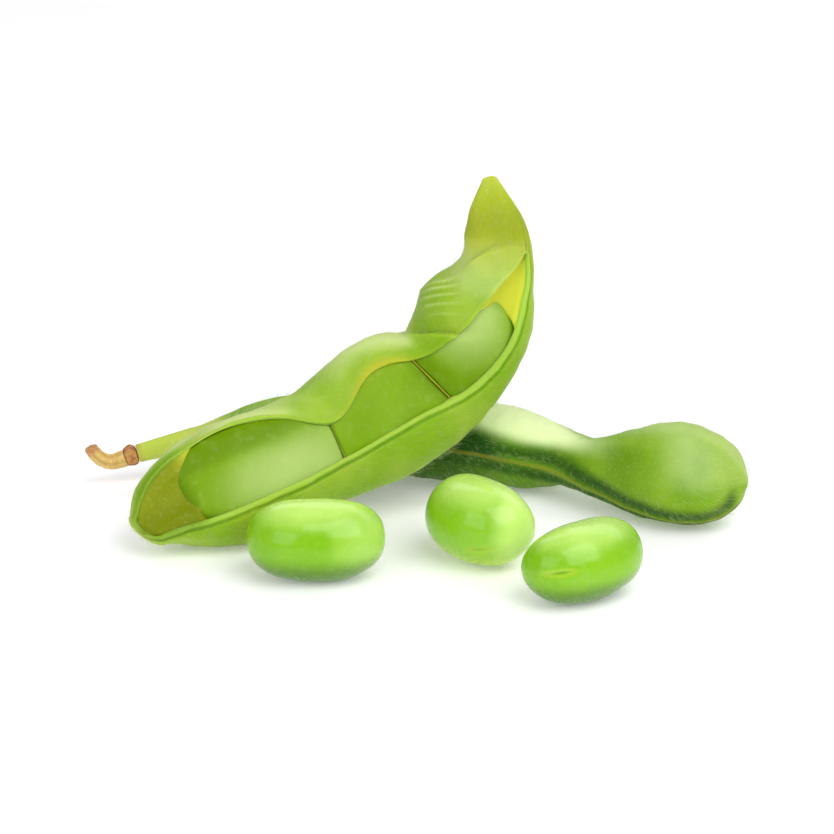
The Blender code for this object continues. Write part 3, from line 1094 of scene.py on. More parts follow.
    def _shape_outer(self, outer: np.ndarray, at: np.ndarray, turn: np.ndarray, middle: np.ndarray,
                     reach: np.ndarray) -> np.ndarray:
        """Give the outer skin its lumps and wrinkles, the groove beside each lip, and the back seam's ridge.

        Args:
            outer: The plain outer rings.
            at: The rings' places.
            turn: The angles round the rings.
            middle: The middle points.
            reach: The four reaches.

        Returns:
            The shaped rings.
        """
        walked = arc_lengths(outer, 1)
        rim = np.minimum(walked, walked[:, -1:] - walked)
        lower = ramp(walked, 0.3 * walked[:, -1:], 0.6 * walked[:, -1:])
        back = np.abs(walked - 0.5 * walked[:, -1:])
        full = np.clip(reach.min(axis=1, keepdims=True) / (3.0 * MM), 0.15, 1.0)
        lift = full * (self.lumps * ripple(outer, 8.0 * MM, Seed.HULL_LUMPS)
                       + self.fine_lumps * ripple(outer, 2.6 * MM, Seed.HULL_FINE_LUMPS))
        lift -= full * self.lip_groove * (0.2 + 0.8 * lower) * hump(rim, 0.55 * MM, 0.22 * MM)
        lift += full * self.back_ridge * hump(back, 0.0, 0.35 * MM)
        lift += self.wrinkle_height * self._wrinkles(at[:, None], turn)
        return lifted(outer, middle[:, None], lift)

    def _shape_inner(self, inner: np.ndarray, at: np.ndarray, turn: np.ndarray,
                     middle: np.ndarray) -> np.ndarray:
        """Give the inner wall its faint lumps and the crease at the pod's foot, and its shallow ends.

        Args:
            inner: The plain inner rings.
            at: The rings' places.
            turn: The angles round the rings.
            middle: The middle points.

        Returns:
            The shaped rings.
        """
        count = len(inner)
        lift = self.wall_lumps * ripple(inner, 5.0 * MM, Seed.WALL_LUMPS)
        crease = hump(np.degrees(turn[:count]), 285.0, 9.0) * ramp(at[:count], 2.6, 1.2)[:, None]
        inner = lifted(inner, middle[:count, None], lift + self.foot_crease * crease)
        share = np.linspace(0.0, 1.0, inner.shape[1])[None, :, None]
        chord = inner[:, :1] + (inner[:, -1:] - inner[:, :1]) * share
        place = at[:count, None, None]
        shallow = (self.foot_shallows * ramp(place + 0.4 * ramp(share, 0.6, 0.95), 2.5, 2.05)
                   + self.tip_shallows * ramp(place, 9.1, 9.6) * ramp(place, 11.2, 10.8))
        return inner + (chord - inner) * shallow

    def _close_ends(self, outer: np.ndarray, inner: np.ndarray) -> tuple[np.ndarray, np.ndarray]:
        """Close both skins with round ends.

        Args:
            outer: The outer rings.
            inner: The inner rings.

        Returns:
            The rings of both skins with their ends.
        """
        nub = np.array(self.nub) * MM
        start = 0.6 * nub + 0.4 * inner[0].mean(axis=0)
        tip = outer[-1].mean(axis=0) + 0.5 * MM * unit(outer[-1].mean(axis=0) - outer[-3].mean(axis=0))
        end = inner[-1].mean(axis=0) * 0.7 + outer[len(inner)].mean(axis=0) * 0.3
        return capped(outer, nub, tip, self.end_rings), capped(inner, start, end, self.end_rings)

    def _lay_skins(self, draft: Draft, outer: np.ndarray, inner: np.ndarray, slit: int,
                   at: np.ndarray, turn: np.ndarray) -> None:
        """Store both skins and the lips that join them.

        Args:
            draft: The piece in the making.
            outer: The outer rings.
            inner: The inner rings.
            slit: The number of the ring where the slit is closed.
            at: The places of the rings between the two ends.
            turn: The angles round those rings.
        """
        place = padded(at, self.end_rings)[:, None]
        turn = padded(turn, self.end_rings)
        walked = arc_lengths(outer, 1)
        rim = np.minimum(walked, walked[:, -1:] - walked)
        along = arc_lengths(outer[:, self.ring_points // 2][:, None], 0)
        draft_outer = draft.add(outer, self._outer_marks(outer, place, turn, rim, along))
        count = len(inner)
        inner_walked = arc_lengths(inner, 1)
        inner_rim = np.minimum(inner_walked, inner_walked[:, -1:] - inner_walked)
        draft_inner = draft.add(inner, {
            Mark.INNER: self._yellowed(place[:count]),
            Mark.EDGE: 0.6 * hump(inner_rim, 0.0, 0.35 * MM),
            # Painted shade on the inner wall at the foot, strongest near the lower lip.
            Mark.PAINTED_SHADE: (ramp(place[:count], 2.6, 1.6)
                         * (0.8 + 0.2 * ramp(inner_walked[:, -1:] - inner_walked, 4.0 * MM, 0.8 * MM))),
            Mark.DRY: self._dry(place[:count], inner),
            Mark.SKIN: skin_place(along[:count], inner_rim),
        })
        draft.weave(draft_outer)
        draft.weave(draft_inner)
        share = np.linspace(0.0, 1.0, self.lip_points + 2)[1:-1]
        lip_place = place[:slit + 1]
        for column, beside, fullness in ((0, 1, self.lip_bulges[0]), (-1, -2, self.lip_bulges[1])):
            skin, wall = outer[:slit + 1, column], inner[:slit + 1, column]
            out = unit(skin - outer[:slit + 1, beside])
            gap = np.linalg.norm(outer[:slit + 1, 0] - outer[:slit + 1, -1], axis=-1)
            bulge = fullness * np.clip(gap / (3.0 * MM), 0.0, 1.0)
            rounded = (skin[:, None] + share[:, None] * (wall - skin)[:, None]
                       + (np.sin(pi * share)[None] * bulge[:, None])[..., None] * out[:, None])
            lip = draft.add(rounded, {
                Mark.EDGE: 1.0,
                # Painted shade on the lips at the foot.
                Mark.PAINTED_SHADE: 0.6 * ramp(lip_place, 3.0, 1.2),
                Mark.WARM: self._ripe_lip(lip_place) * (column == 0),
                Mark.DRY: self._dry(lip_place, rounded),
                Mark.SKIN: skin_place(along[:slit + 1], np.zeros(rounded.shape[:-1])),
            })
            draft.weave(np.concatenate([draft_outer[:slit + 1, column][:, None], lip,
                                        draft_inner[:slit + 1, column][:, None]], axis=1))

    def _dry(self, place: np.ndarray, points: np.ndarray) -> np.ndarray:
        """Say how far the hull has browned, at its foot and at its tip."""
        foot = ramp(np.linalg.norm(points - np.array(self.nub) * MM, axis=-1), 1.2 * MM, 0.4 * MM)
        tip = ramp(place, 12.9, 13.15)
        return np.maximum(0.35 * foot, 0.6 * tip)

    def _yellowed(self, place: np.ndarray) -> np.ndarray:
        """Say how yellow the inner wall is: most at the pod's foot and under the flap."""
        return 0.4 + 0.6 * np.maximum(ramp(place, 2.6, 1.8), ramp(place, 9.2, 9.8))

    def _ripe_lip(self, place: np.ndarray) -> np.ndarray:
        """Say how far the upper lip has turned orange, over the middle chamber."""
        return hump(place, 6.5, 1.1)

    def _outer_marks(self, outer: np.ndarray, place: np.ndarray, turn: np.ndarray, rim: np.ndarray,
                     along: np.ndarray) -> Marks:
        """Work out the marks of the outer skin.

        Args:
            outer: The outer rings.
            place: Each ring's place along the pod.
            turn: The angles round each ring.
            rim: The distance from the nearer lip.
            along: The way along the pod.

        Returns:
            The marks.
        """
        side = np.linspace(0.0, 1.0, outer.shape[1])[None]
        flap = ramp(place, 8.0, 8.4) * ramp(place, 9.9, 8.9) * ramp(side, 0.12, 0.35)
        lower = ramp(side, 0.4, 0.6)
        near = hump(rim, 0.0, 0.9 * MM) * (side < 0.5)
        # Painted highlight on the upper valve's upward-facing band, on the apex and on the flap's wrinkle
        # ridges.
        top = ramp(side, 0.08, 0.28) * ramp(side, 0.55, 0.32) * ramp(place, 8.2, 7.6) * ramp(place, 0.8, 2.2)
        top = top * (1.0 - 0.7 * hump(place, 5.0, 0.9))
        top = np.maximum(top, ramp(side, 0.0, 0.09) * ramp(side, 0.55, 0.32) * hump(place, 3.5, 1.0))
        top = np.maximum(top, 0.6 * ramp(place, 9.2, 10.2) * ramp(place, 11.6, 11.0) * ramp(side, 0.6, 0.4))
        top = np.maximum(top, 0.85 * self._wrinkles(place, turn))
        return {
            Mark.EDGE: hump(rim, 0.0, 0.25 * MM) * (0.3 + 0.7 * lower),
            Mark.LINE: hump(rim, 0.55 * MM, 0.24 * MM) * (0.35 + 0.65 * lower),
            Mark.DRY: self._dry(place, outer),
            Mark.DEEP_AND_SHADE: 0.45 * flap * (side < 0.7),
            # The apex's yellower tone, painted light on the lower valve over the first chamber, and the
            # orange upper lip.
            Mark.WARM: np.maximum(0.7 * ramp(place, 9.5, 11.5) + 0.4 * lower * hump(place, 3.1, 0.8),
                                  near * self._ripe_lip(place)),
            # Painted highlight, and paler towards the tip.
            Mark.PALE_AND_HIGHLIGHT: np.maximum(top, 0.5 * ramp(place, 12.0, 13.0)),
            # Painted shade beside the lips at the foot, and on the apex past its fold.
            Mark.PAINTED_SHADE: 0.5 * hump(rim, 0.0, 1.2 * MM) * ramp(place, 3.0, 1.2) + 0.4 * hump(place, 11.7, 0.8),
            Mark.HAIRY: ramp(rim, 0.3 * MM, 1.2 * MM),
            Mark.SKIN: skin_place(along, rim),
            Mark.FLOW: unit(np.gradient(outer, axis=0)),
        }

    def _add_septum(self, draft: Draft, septum: Septum) -> None:
        """Add one septum: a thin sheet, thickest in its middle, with a free edge between the lips.

        Args:
            draft: The piece in the making.
            septum: The septum.
        """
        middle, front, up, reach, lips = self.frame_at(np.array([septum.place]))
        upper, lower = lips[0]
        turn = np.linspace(upper, 2.0 * pi + lower, 48)[None]
        buried = 0.6 * self.wall_at(turn, reach, lips)
        round_wall = self.section((middle, front, up), reach, turn, buried)[0]
        lift = np.linspace(0.0, 1.0, 16)[1:-1]
        chord = round_wall[-1] + (round_wall[0] - round_wall[-1]) * lift[:, None]
        bottom = middle[0] + front[0] * reach[0, 2] * septum.edge
        sag = ((bottom - chord) @ front[0]) * np.sin(pi * lift) ** 0.8
        free = chord + sag[:, None] * front[0]
        outline = np.concatenate([round_wall, free])
        centre = outline.mean(axis=0)
        ahead = np.cross(up[0], front[0])
        angle = np.linspace(0.0, pi, 11)
        rows = []
        for one in angle:
            swell = 0.5 * septum.thickness * cos(one)
            rows.append(centre + (outline - centre) * max(sin(one), 0.0) ** 0.5 + ahead * swell)
        rings = np.stack(rows)
        edge = np.concatenate([np.zeros(len(round_wall)), np.ones(len(free))])
        reach_out = np.sin(angle)[:, None] ** 0.5
        draft.weave(draft.add(rings, {
            Mark.INNER: septum.yellowed,
            Mark.DRY: septum.browned * edge[None] * ramp(reach_out, 0.7, 0.95),
            Mark.SKIN: rings / MM,
        }), closed=True)


@dataclass(frozen=True)
class PodBean:
    """A bean that lies in the opened pod and follows its chamber.

    It runs from the start to the end, counted in stations, and each fullness says how blunt that end is. The
    shade is painted shade on its top, its low side near the start, and its start as far as shaded_to of its
    length; the end has painted shade of its own. The painted highlight lies round the facing turn, in
    degrees, over the breadth.
    """

    name: str
    start: float
    end: float
    start_fullness: float
    end_fullness: float
    shade: float = 0.0
    end_painted_shade: float = 0.0
    warmth: float = 0.0
    painted_highlight: float = 0.0
    shaded_to: float = 0.15
    facing: float = -12.0
    breadth: float = 38.0
    pod: OpenPod = OpenPod()
    gap: float = 0.03 * MM
    spread: float = 2.5
    lumps: float = 0.05 * MM
    rings: int = 72
    ring_points: int = 80

    def build(self, material: bpy.types.Material) -> bpy.types.Object:
        """Build the bean.

        Args:
            material: Its finish.

        Returns:
            The bean.
        """
        polar = np.linspace(0.0, pi, self.rings + 1)
        polar[0], polar[-1] = 1e-3, pi - 1e-3
        turn = np.linspace(-pi, pi, self.ring_points, endpoint=False)
        half = 0.5 * (self.end - self.start)
        fullness = np.where(polar < 0.5 * pi, self.start_fullness, self.end_fullness)
        ahead = squared(np.cos(polar), self.spread)
        at = self.start + half - half * ahead
        middle, front, up, reach, lips = self.pod.frame_at(at)
        turn = np.broadcast_to(turn, (len(at), len(turn)))
        girth = ((1.0 - np.abs(ahead) ** fullness) ** (1.0 / fullness))[:, None]
        inset = self.pod.fold_drop(at, turn) + self.pod.wall_at(turn, reach, lips) + self.gap
        rings = self.pod.section((middle, front, up), np.maximum(reach * girth, 1e-6), turn, inset * girth)
        rings = lifted(rings, middle[:, None],
                       self.lumps * girth * ripple(rings, 4.5 * MM, Seed.POD_BEAN_LUMPS))
        ends = np.broadcast_to(np.stack([middle[0], middle[-1]])[:, None], (2, *rings.shape[1:]))
        rings = np.concatenate([ends[:1], rings, ends[1:]])
        share = (0.5 - 0.5 * np.concatenate([[1.0], ahead, [-1.0]]))[:, None]
        turn = np.degrees(turn[:1])
        # The top, shaded by the upper valve, gets painted shade; on the middle bean it is yellower instead.
        top = ramp(turn, 5.0, 45.0) * ramp(turn, 170.0, 140.0)
        # Painted shade on the low side near the start.
        low = 0.6 * ramp(turn, -8.0, -35.0) * ramp(share, 0.5, 0.18)
        # Painted highlight round the facing turn.
        highlight_patch = hump(turn, self.facing, self.breadth) * hump(share, 0.72, 0.46)
        shaded = self.shade * np.maximum(np.maximum(top, low), ramp(share, self.shaded_to, 0.0))
        return tube(self.name + "_skin", rings, {
            Mark.DEEP_AND_SHADE: np.maximum(shaded, self.end_painted_shade * ramp(share, 0.78, 1.0)),
            Mark.WARM: self.warmth * top,
            Mark.PALE_AND_HIGHLIGHT: self.painted_highlight * highlight_patch,
            Mark.SKIN: rings / MM,
        }, material)


@dataclass(frozen=True)
class LooseBean:
    """A shelled bean: a full oval, bent a little, with the scar of its hilum.

    Its middle, its size and the hilum's way to the side are in millimetres, and the turns are in degrees.
    Its top and one end may get painted highlight, and its underside painted shade and painted light from the
    table.
    """

    name: str
    middle: tuple[float, float, float]
    size: tuple[float, float, float]
    turned: float
    hilum_turn: float = 200.0
    hilum_side: float = 0.0
    painted_end_highlight: float = 0.0
    painted_low_shade: float = 0.95
    painted_low_light: float = 0.0
    bend: float = 0.05
    fullness: float = 2.35
    lumps: float = 0.035 * MM
    hilum_dent: float = 0.1 * MM
    hilum_rim: float = 0.05 * MM
    hilum_line: float = 0.05 * MM
    rings: int = 96
    ring_points: int = 96

    def rings_of_points(self) -> np.ndarray:
        """Work out the smooth bean's rings, in the layout's own place."""
        length, width, height = (value * MM for value in self.size)
        polar = np.linspace(0.0, pi, self.rings + 1)[:, None]
        turn = np.linspace(0.0, 2.0 * pi, self.ring_points, endpoint=False)[None]
        girth = squared(np.sin(polar), self.fullness)
        x = 0.5 * length * squared(np.cos(polar), self.fullness)
        y = 0.5 * width * girth * np.cos(turn) + self.bend * length * (np.cos(polar) ** 2 - 0.3)
        z = 0.5 * height * girth * np.sin(turn)
        yaw = radians(self.turned)
        placed = np.stack([x * cos(yaw) - y * sin(yaw), x * sin(yaw) + y * cos(yaw), z], axis=-1)
        return placed + np.array(self.middle) * MM

    def build(self, material: bpy.types.Material) -> bpy.types.Object:
        """Build the bean with its hilum and faint dimples.

        Args:
            material: Its finish.

        Returns:
            The bean.
        """
        rings = self.rings_of_points()
        centre = np.array(self.middle) * MM
        turn = np.linspace(0.0, 2.0 * pi, self.ring_points, endpoint=False)[None]
        polar = np.linspace(0.0, pi, self.rings + 1)[:, None]
        round_way = (np.degrees(turn) - self.hilum_turn + 180.0) % 360.0 - 180.0
        across = np.radians(round_way) * 0.5 * self.size[1] * MM * np.sin(polar)
        along = -np.cos(polar) * 0.5 * self.size[0] * MM - self.hilum_side * MM
        oval = np.sqrt((along / (1.7 * MM)) ** 2 + (across / (0.55 * MM)) ** 2)
        dent = self.hilum_dent * hump(oval, 0.0, 0.8) - self.hilum_rim * hump(oval, 1.25, 0.3)
        line = hump(across, 0.0, 0.12 * MM) * hump(along, 0.0, 1.3 * MM)
        lift = self.lumps * ripple(rings, 5.0 * MM, Seed.LOOSE_BEAN_LUMPS) * np.sin(polar)
        lift = lift - dent - self.hilum_line * line
        rings = lifted(rings, centre, lift)
        low = self.middle[2] * MM - 0.5 * self.size[2] * MM
        rings[..., 2] = np.maximum(rings[..., 2], low)
        height = (rings[..., 2] - low) / (self.size[2] * MM)
        right = (rings[..., 0] - centre[0]) / np.abs(rings[..., 0] - centre[0]).max()
        return tube(self.name + "_skin", rings, {
            # The hilum's dark line, and painted shade on the underside.
            Mark.DEEP_AND_SHADE: np.maximum(0.8 * line, self.painted_low_shade * ramp(height, 0.6, 0.08)),
            # Painted highlight on the top and towards one end.
            Mark.PALE_AND_HIGHLIGHT: np.maximum(0.7 * ramp(height, 0.6, 1.0), self.painted_end_highlight * ramp(right, -0.2, 0.75)),
            # The warm tone round the hilum, and painted light from the table on the underside.
            Mark.WARM: np.maximum(0.6 * hump(oval, 0.6, 0.5), self.painted_low_light * ramp(height, 0.45, 0.1)),
            Mark.SKIN: rings / MM,
        }, material)


@dataclass(frozen=True)
class ClosedPod:
    """The closed pod, with a ridge along its front and back seams."""

    stations: Rows = CLOSED_POD_STATIONS
    squareness: float = 2.1
    lumps: float = 0.1 * MM
    fine_lumps: float = 0.03 * MM
    seam_ridge: float = 0.2 * MM
    beside_seam: float = 0.1 * MM
    seam_crease: float = 0.06 * MM
    rings_per_station: int = 20
    ring_points: int = 112
    end_rings: int = 6

    def build(self, material: bpy.types.Material) -> bpy.types.Object:
        """Build the hull.

        Args:
            material: Its finish.

        Returns:
            The hull.
        """
        last = len(self.stations) - 1
        at = np.linspace(0.0, last, last * self.rings_per_station + 1)
        rows = spline_rows(self.stations, at)
        middle = rows[:, :3] * MM
        along = unit(np.gradient(middle, axis=0))
        level = unit(np.cross(along, (0.0, 0.0, 1.0)))
        level *= -np.sign(level[:, 1:2])
        upright = np.cross(level, along)
        upright *= np.sign(upright[:, 2:3])
        tilt = np.radians(rows[:, 5:6])
        seam = level * np.cos(tilt) + upright * np.sin(tilt)
        flat = upright * np.cos(tilt) - level * np.sin(tilt)
        turn = np.linspace(0.0, 2.0 * pi, self.ring_points, endpoint=False)
        turn = turn - 0.42 * np.sin(2.0 * turn)
        breadth = squared(np.cos(turn), self.squareness) * rows[:, 3:4] * MM
        thickness = squared(np.sin(turn), self.squareness) * rows[:, 4:5] * MM
        rings = middle[:, None] + breadth[..., None] * seam[:, None] + thickness[..., None] * flat[:, None]
        from_seam = np.abs(thickness)
        full = np.clip(rows[:, 4:5] / 3.0, 0.12, 1.0)
        seamed = ramp(rows[:, 4:5], 1.4, 3.0)
        lift = full * (self.lumps * ripple(rings, 8.0 * MM, Seed.RIPE_HULL_LUMPS)
                       + self.fine_lumps * ripple(rings, 2.5 * MM, Seed.RIPE_HULL_FINE_LUMPS))
        lift += seamed * self.seam_ridge * hump(from_seam, 0.0, 0.32 * MM)
        lift -= seamed * self.beside_seam * hump(from_seam, 0.75 * MM, 0.3 * MM)
        lift -= seamed * self.seam_crease * hump(from_seam, 0.0, 0.09 * MM)
        rings = lifted(rings, middle[:, None], lift)
        rings[..., 2] = np.maximum(rings[..., 2], 0.0)
        return self._skin(rings, at, turn, from_seam, seamed, material)

    def _skin(self, rings: np.ndarray, at: np.ndarray, turn: np.ndarray, from_seam: np.ndarray,
              seamed: np.ndarray, material: bpy.types.Material) -> bpy.types.Object:
        """Close the ends, work out the marks and make the object.

        Args:
            rings: The hull's rings.
            at: Their places, counted in stations.
            turn: The angles round them.
            from_seam: Each point's distance from the seam plane.
            seamed: How far the seam shows on each ring.
            material: The hull's finish.

        Returns:
            The hull.
        """
        rows = self.end_rings
        first, last = rings[0].mean(axis=0), rings[-1].mean(axis=0)
        tip = first + 0.12 * MM * unit(first - rings[4].mean(axis=0))
        root = last + 0.05 * MM * unit(last - rings[-5].mean(axis=0))
        rings = capped(rings, tip, root, rows)
        place = padded(at, rows)[:, None]
        from_seam, seamed = padded(from_seam, rows), padded(seamed, rows)
        front = ramp(np.cos(turn), -0.2, 0.2)[None]
        rise = np.sin(turn)[None]
        x = rings[..., 0] / MM
        # Painted shade with deep green on the front of the left half, on the bulge's left and below the seam.
        shaded = front * ramp(rise, 0.9, 0.25) * (0.7 + 0.3 * ramp(rise, -0.2, 0.1)) * ramp(x, 17.0, 5.0)
        shaded = np.maximum(shaded, 0.35 * front * hump(x, 22.5, 4.0))
        shaded = np.maximum(shaded, 0.5 * front * ramp(rise, 0.05, -0.2) * ramp(x, 27.0, 16.0))
        band = front * seamed * hump(from_seam, 1.1 * MM, 1.3 * MM) * ramp(x, 36.3, 35.0)
        # Painted highlight: the top bleached nearly white over the middle, the bulge's top and the back.
        middle_top_highlight = ramp(rise - 0.45 * ramp(x, 11.0, 20.0), 0.28, 0.8) * ramp(x, 0.0, 9.0)
        middle_top_highlight = middle_top_highlight * ramp(x, 24.0, 18.0) * ramp(np.cos(turn), -1.0, -0.4)
        bulge_top_highlight = 0.36 * ramp(rise, 0.55, 1.0) * ramp(x, 24.0, 30.0) * (1.0 - 0.4 * ramp(x, 30.0, 35.0))
        back = 0.35 * ramp(np.cos(turn), 0.0, -0.6) * ramp(x, 17.0, 20.0)
        return tube("closed_pod_hull", rings, {
            Mark.LINE: seamed * hump(from_seam, 0.0, 0.3 * MM),
            Mark.DEEP_AND_SHADE: np.maximum(shaded, 0.8 * band),
            Mark.PALE_AND_HIGHLIGHT: np.maximum(np.maximum(middle_top_highlight, bulge_top_highlight), back),
            Mark.WARM: ramp(place, 12.0, 13.4) + 0.25 * ramp(x, 26.0, 34.0),
            Mark.DRY: ramp(place, 14.8, 15.0),
            Mark.HAIRY: ramp(place, 15.0, 13.6),
            Mark.SKIN: skin_place(arc_lengths(rings[:, 0][:, None], 0), from_seam),
            Mark.FLOW: unit(-np.gradient(rings, axis=0)),
        }, material)


@dataclass(frozen=True)
class Stem:
    """A stem of varying radius along its middle line, ribbed and lumpy.

    It is dry from one place on, counted in stations, and each end rounds off by the same length.
    """

    name: str
    stations: Rows
    ribs: int
    rib_depth: float
    lump: float
    round_off: float
    dry_from: float
    rings_per_station: int = 14
    ring_points: int = 40
    end_rings: int = 6

    def build(self, material: bpy.types.Material) -> bpy.types.Object:
        """Build the stem.

        Args:
            material: Its finish.

        Returns:
            The stem.
        """
        last = len(self.stations) - 1
        at = np.linspace(0.0, last, last * self.rings_per_station + 1)
        rows = spline_rows(self.stations, at) * MM
        middle = rows[:, :3]
        along = unit(np.gradient(middle, axis=0))
        side = unit(np.cross(along, (0.0, 1.0, 0.0)))
        depth = np.cross(along, side)
        turn = np.linspace(0.0, 2.0 * pi, self.ring_points, endpoint=False)[None]
        rib = self.rib_depth * np.cos(self.ribs * turn + 0.6 * at[:, None])
        radius = rows[:, 3:4] + rib
        rings = (middle[:, None] + (np.cos(turn) * radius)[..., None] * side[:, None]
                 + (np.sin(turn) * radius)[..., None] * depth[:, None])
        rings = lifted(rings, middle[:, None], self.lump * ripple(rings, 0.9 * MM, Seed.STEM_LUMPS))
        start = middle[0] - along[0] * self.round_off
        end = middle[-1] + along[-1] * self.round_off
        rings = capped(rings, start, end, self.end_rings)
        return tube(self.name, rings, {
            Mark.DRY: ramp(padded(at, self.end_rings)[:, None], self.dry_from, last),
            Mark.DEEP_AND_SHADE: ramp(np.cos(self.ribs * turn), 0.2, -0.9),
            Mark.SKIN: skin_place(arc_lengths(rings[:, 0][:, None], 0), turn * MM),
        }, material)


@dataclass(frozen=True)
class Lamp:
    """A soft box: its place, what it shines at, its size and its power in watts."""

    name: str
    place: tuple[float, float, float]
    size: tuple[float, float]
    power: float


@dataclass(frozen=True)
class Studio:
    """A white table under soft boxes, and the camera."""

    target: tuple[float, float, float]
    elevation: float = 20.0
    distance: float = 0.48
    lens: float = 187.8
    sensor: float = 36.0
    floor_reach: float = 2.5
    sky: float = 0.3
    table_glow: float = 0.22
    lamps: tuple[Lamp, ...] = (
        Lamp("right_light", (0.28, -0.33, 0.49), (0.64, 0.6), 3.75),
        Lamp("left_light", (-0.34, -0.43, 0.29), (0.5, 0.42), 1.4),
        Lamp("back_light", (0.14, 0.42, 0.45), (1.1, 0.3), 1.6),
    )

    def build(self) -> None:
        """Build the table, the lights and the camera."""
        scene = bpy.context.scene
        scene.view_settings.view_transform = "Standard"
        world = bpy.data.worlds.new("white surroundings")
        world.use_nodes = True
        background = world.node_tree.nodes["Background"].inputs
        background["Color"].default_value = colour("#f9faff")
        background["Strength"].default_value = self.sky
        scene.world = world
        self._table()
        for lamp in self.lamps:
            light = bpy.data.lights.new(lamp.name, "AREA")
            light.shape = "RECTANGLE"
            light.size, light.size_y = lamp.size
            light.energy = lamp.power
            item = add_object(lamp.name, light)
            item.location = lamp.place
            aim = Vector(self.target) - Vector(lamp.place)
            item.rotation_euler = aim.to_track_quat("-Z", "Y").to_euler()
        self._camera(scene)

    def _table(self) -> None:
        """Build the white table top."""
        mesh = bpy.data.meshes.new("table_top")
        reach = self.floor_reach
        mesh.from_pydata([(-reach, -reach, 0), (reach, -reach, 0), (reach, reach, 0), (-reach, reach, 0)],
                         [], [(0, 1, 2, 3)])
        material = bpy.data.materials.new("white acrylic sheet")
        material.use_nodes = True
        shader = material.node_tree.nodes["Principled BSDF"]
        values = {"Base Color": colour("#fcfafd"), "Roughness": 0.22, "Specular IOR Level": 0.4,
                  "Emission Color": colour("#fdfdff"), "Emission Strength": self.table_glow}
        for socket, value in values.items():
            shader.inputs[socket].default_value = value
        mesh.materials.append(material)
        top = add_object("table_top", mesh)

    def _camera(self, scene: bpy.types.Scene) -> None:
        """Place the camera in front of the bundle, looking a little down."""
        data = bpy.data.cameras.new("camera")
        data.sensor_width = self.sensor
        data.lens = self.lens
        data.clip_start = 0.01
        camera = add_object("camera", data)
        tilt = radians(self.elevation)
        back = Vector((0.0, -cos(tilt), sin(tilt)))
        camera.location = Vector(self.target) + back * self.distance
        camera.rotation_euler = (-back).to_track_quat("-Z", "Y").to_euler()
        scene.camera = camera


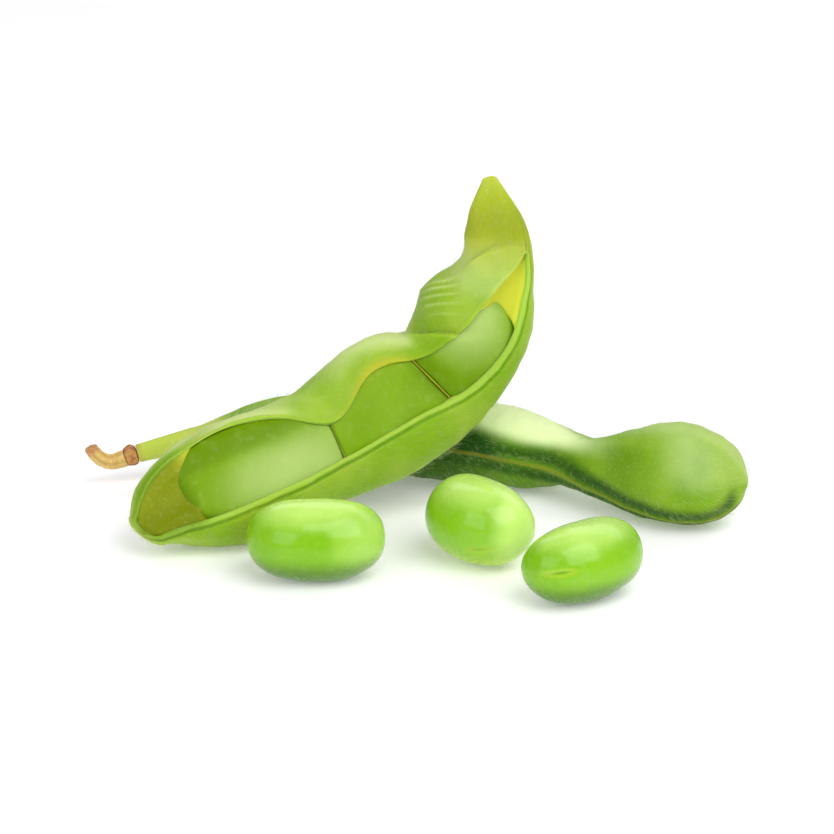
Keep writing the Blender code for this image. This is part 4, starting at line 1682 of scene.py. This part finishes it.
@dataclass
class Bundle:
    pod: OpenPod = field(default_factory=OpenPod)
    closed_pod: ClosedPod = field(default_factory=ClosedPod)
    loose_beans: tuple[LooseBean, ...] = (
        LooseBean("loose_bean_left", (-10.8, -8.3, 4.45), (14.9, 9.2, 8.9), turned=3.0, hilum_turn=30.0,
                  painted_end_highlight=0.55),
        LooseBean("loose_bean_middle", (6.7, -3.1, 4.65), (13.3, 9.6, 9.3), turned=-51.0, hilum_side=-4.0,
                  painted_end_highlight=1.0, painted_low_shade=0.2, painted_low_light=0.7),
        LooseBean("loose_bean_right", (17.7, -13.7, 4.25), (14.3, 8.9, 8.5), turned=38.0, hilum_turn=166.0,
                  hilum_side=5.3),
    )
    shift: Vector = field(default_factory=Vector)

    def __post_init__(self) -> None:
        """Find the step from the layout's place to the frame's, from the left loose bean."""
        points = self.loose_beans[0].rings_of_points().reshape(-1, 3)
        low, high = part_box(self.loose_beans[0].name)
        step = (low + high) / 2.0 - Vector((points.min(axis=0) + points.max(axis=0)) / 2.0)
        self.shift = Vector((step.x, step.y, 0.0))

    def declare(self, piece: bpy.types.Object, node: str) -> bpy.types.Object:
        """Move a piece to the frame's place and say what it stands for.

        Args:
            piece: The new piece.
            node: The CAD node that it replaces.

        Returns:
            The piece.
        """
        for vertex in piece.data.vertices:
            vertex.co = Vector((vertex.co.x, vertex.co.y, max(vertex.co.z, 0.0))) + self.shift
        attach(piece, "root")
        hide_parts(node)
        piece.data.calc_loop_triangles()
        LOG.info("%s: %d triangles, for %s", piece.name, len(piece.data.loop_triangles), node)
        return piece

    def build(self) -> None:
        """Build and declare every piece."""
        hull, ripe, hair = HULL.dress(), RIPE_HULL.dress(), PALE_HAIR.dress()
        moist, glossy = MOIST_BEAN.dress(), GLOSSY_BEAN.dress()
        opened = self.pod.build(hull)
        opened_hairs = Hairs(seed=Seed.HULL_HAIRS).grow(opened, "open_pod_hairs", hair)
        self.declare(opened, "open_pod")
        self.declare(opened_hairs, "open_pod")
        for bean in (
            PodBean("pod_bean_lower", 1.62, 4.95, 3.8, 26.0, shade=1.0, painted_highlight=0.9, shaded_to=0.2,
                    pod=self.pod),
            PodBean("pod_bean_middle", 4.97, 7.345, 26.0, 26.0, end_painted_shade=0.8, warmth=0.9, shaded_to=0.1,
                    pod=self.pod),
            PodBean("pod_bean_upper", 7.375, 9.95, 20.0, 2.5, shade=1.0, painted_highlight=1.0, shaded_to=0.36,
                    facing=-2.0, breadth=50.0, pod=self.pod),
        ):
            self.declare(bean.build(moist), bean.name)
        closed = self.closed_pod.build(ripe)
        closed_hairs = Hairs(seed=Seed.RIPE_HULL_HAIRS).grow(closed, "closed_pod_hairs", hair)
        self.declare(closed, "closed_pod")
        self.declare(closed_hairs, "closed_pod")
        calyx = Stem("closed_pod_calyx_ring", CALYX_STATIONS, ribs=5, rib_depth=0.10 * MM, lump=0.04 * MM,
                     round_off=0.12 * MM, dry_from=9.0)
        self.declare(calyx.build(PAPERY_SEPAL.dress()), "closed_pod_calyx")
        stalk = Stem("closed_pod_stalk_wood", STALK_STATIONS, ribs=6, rib_depth=0.025 * MM, lump=0.02 * MM,
                     round_off=0.1 * MM, dry_from=2.6)
        self.declare(stalk.build(WOODY_STALK.dress()), "closed_pod_stalk")
        for bean in self.loose_beans:
            self.declare(bean.build(glossy), bean.name)


def main() -> None:
    """Build the bundle and the studio."""
    logging.basicConfig(level=logging.INFO, format="%(message)s")
    bundle = Bundle()
    bundle.build()
    target = Vector((0.0, 10.0 * MM, 11.7 * MM)) + bundle.shift
    Studio(tuple(target)).build()


if __name__ == "__main__":
    main()
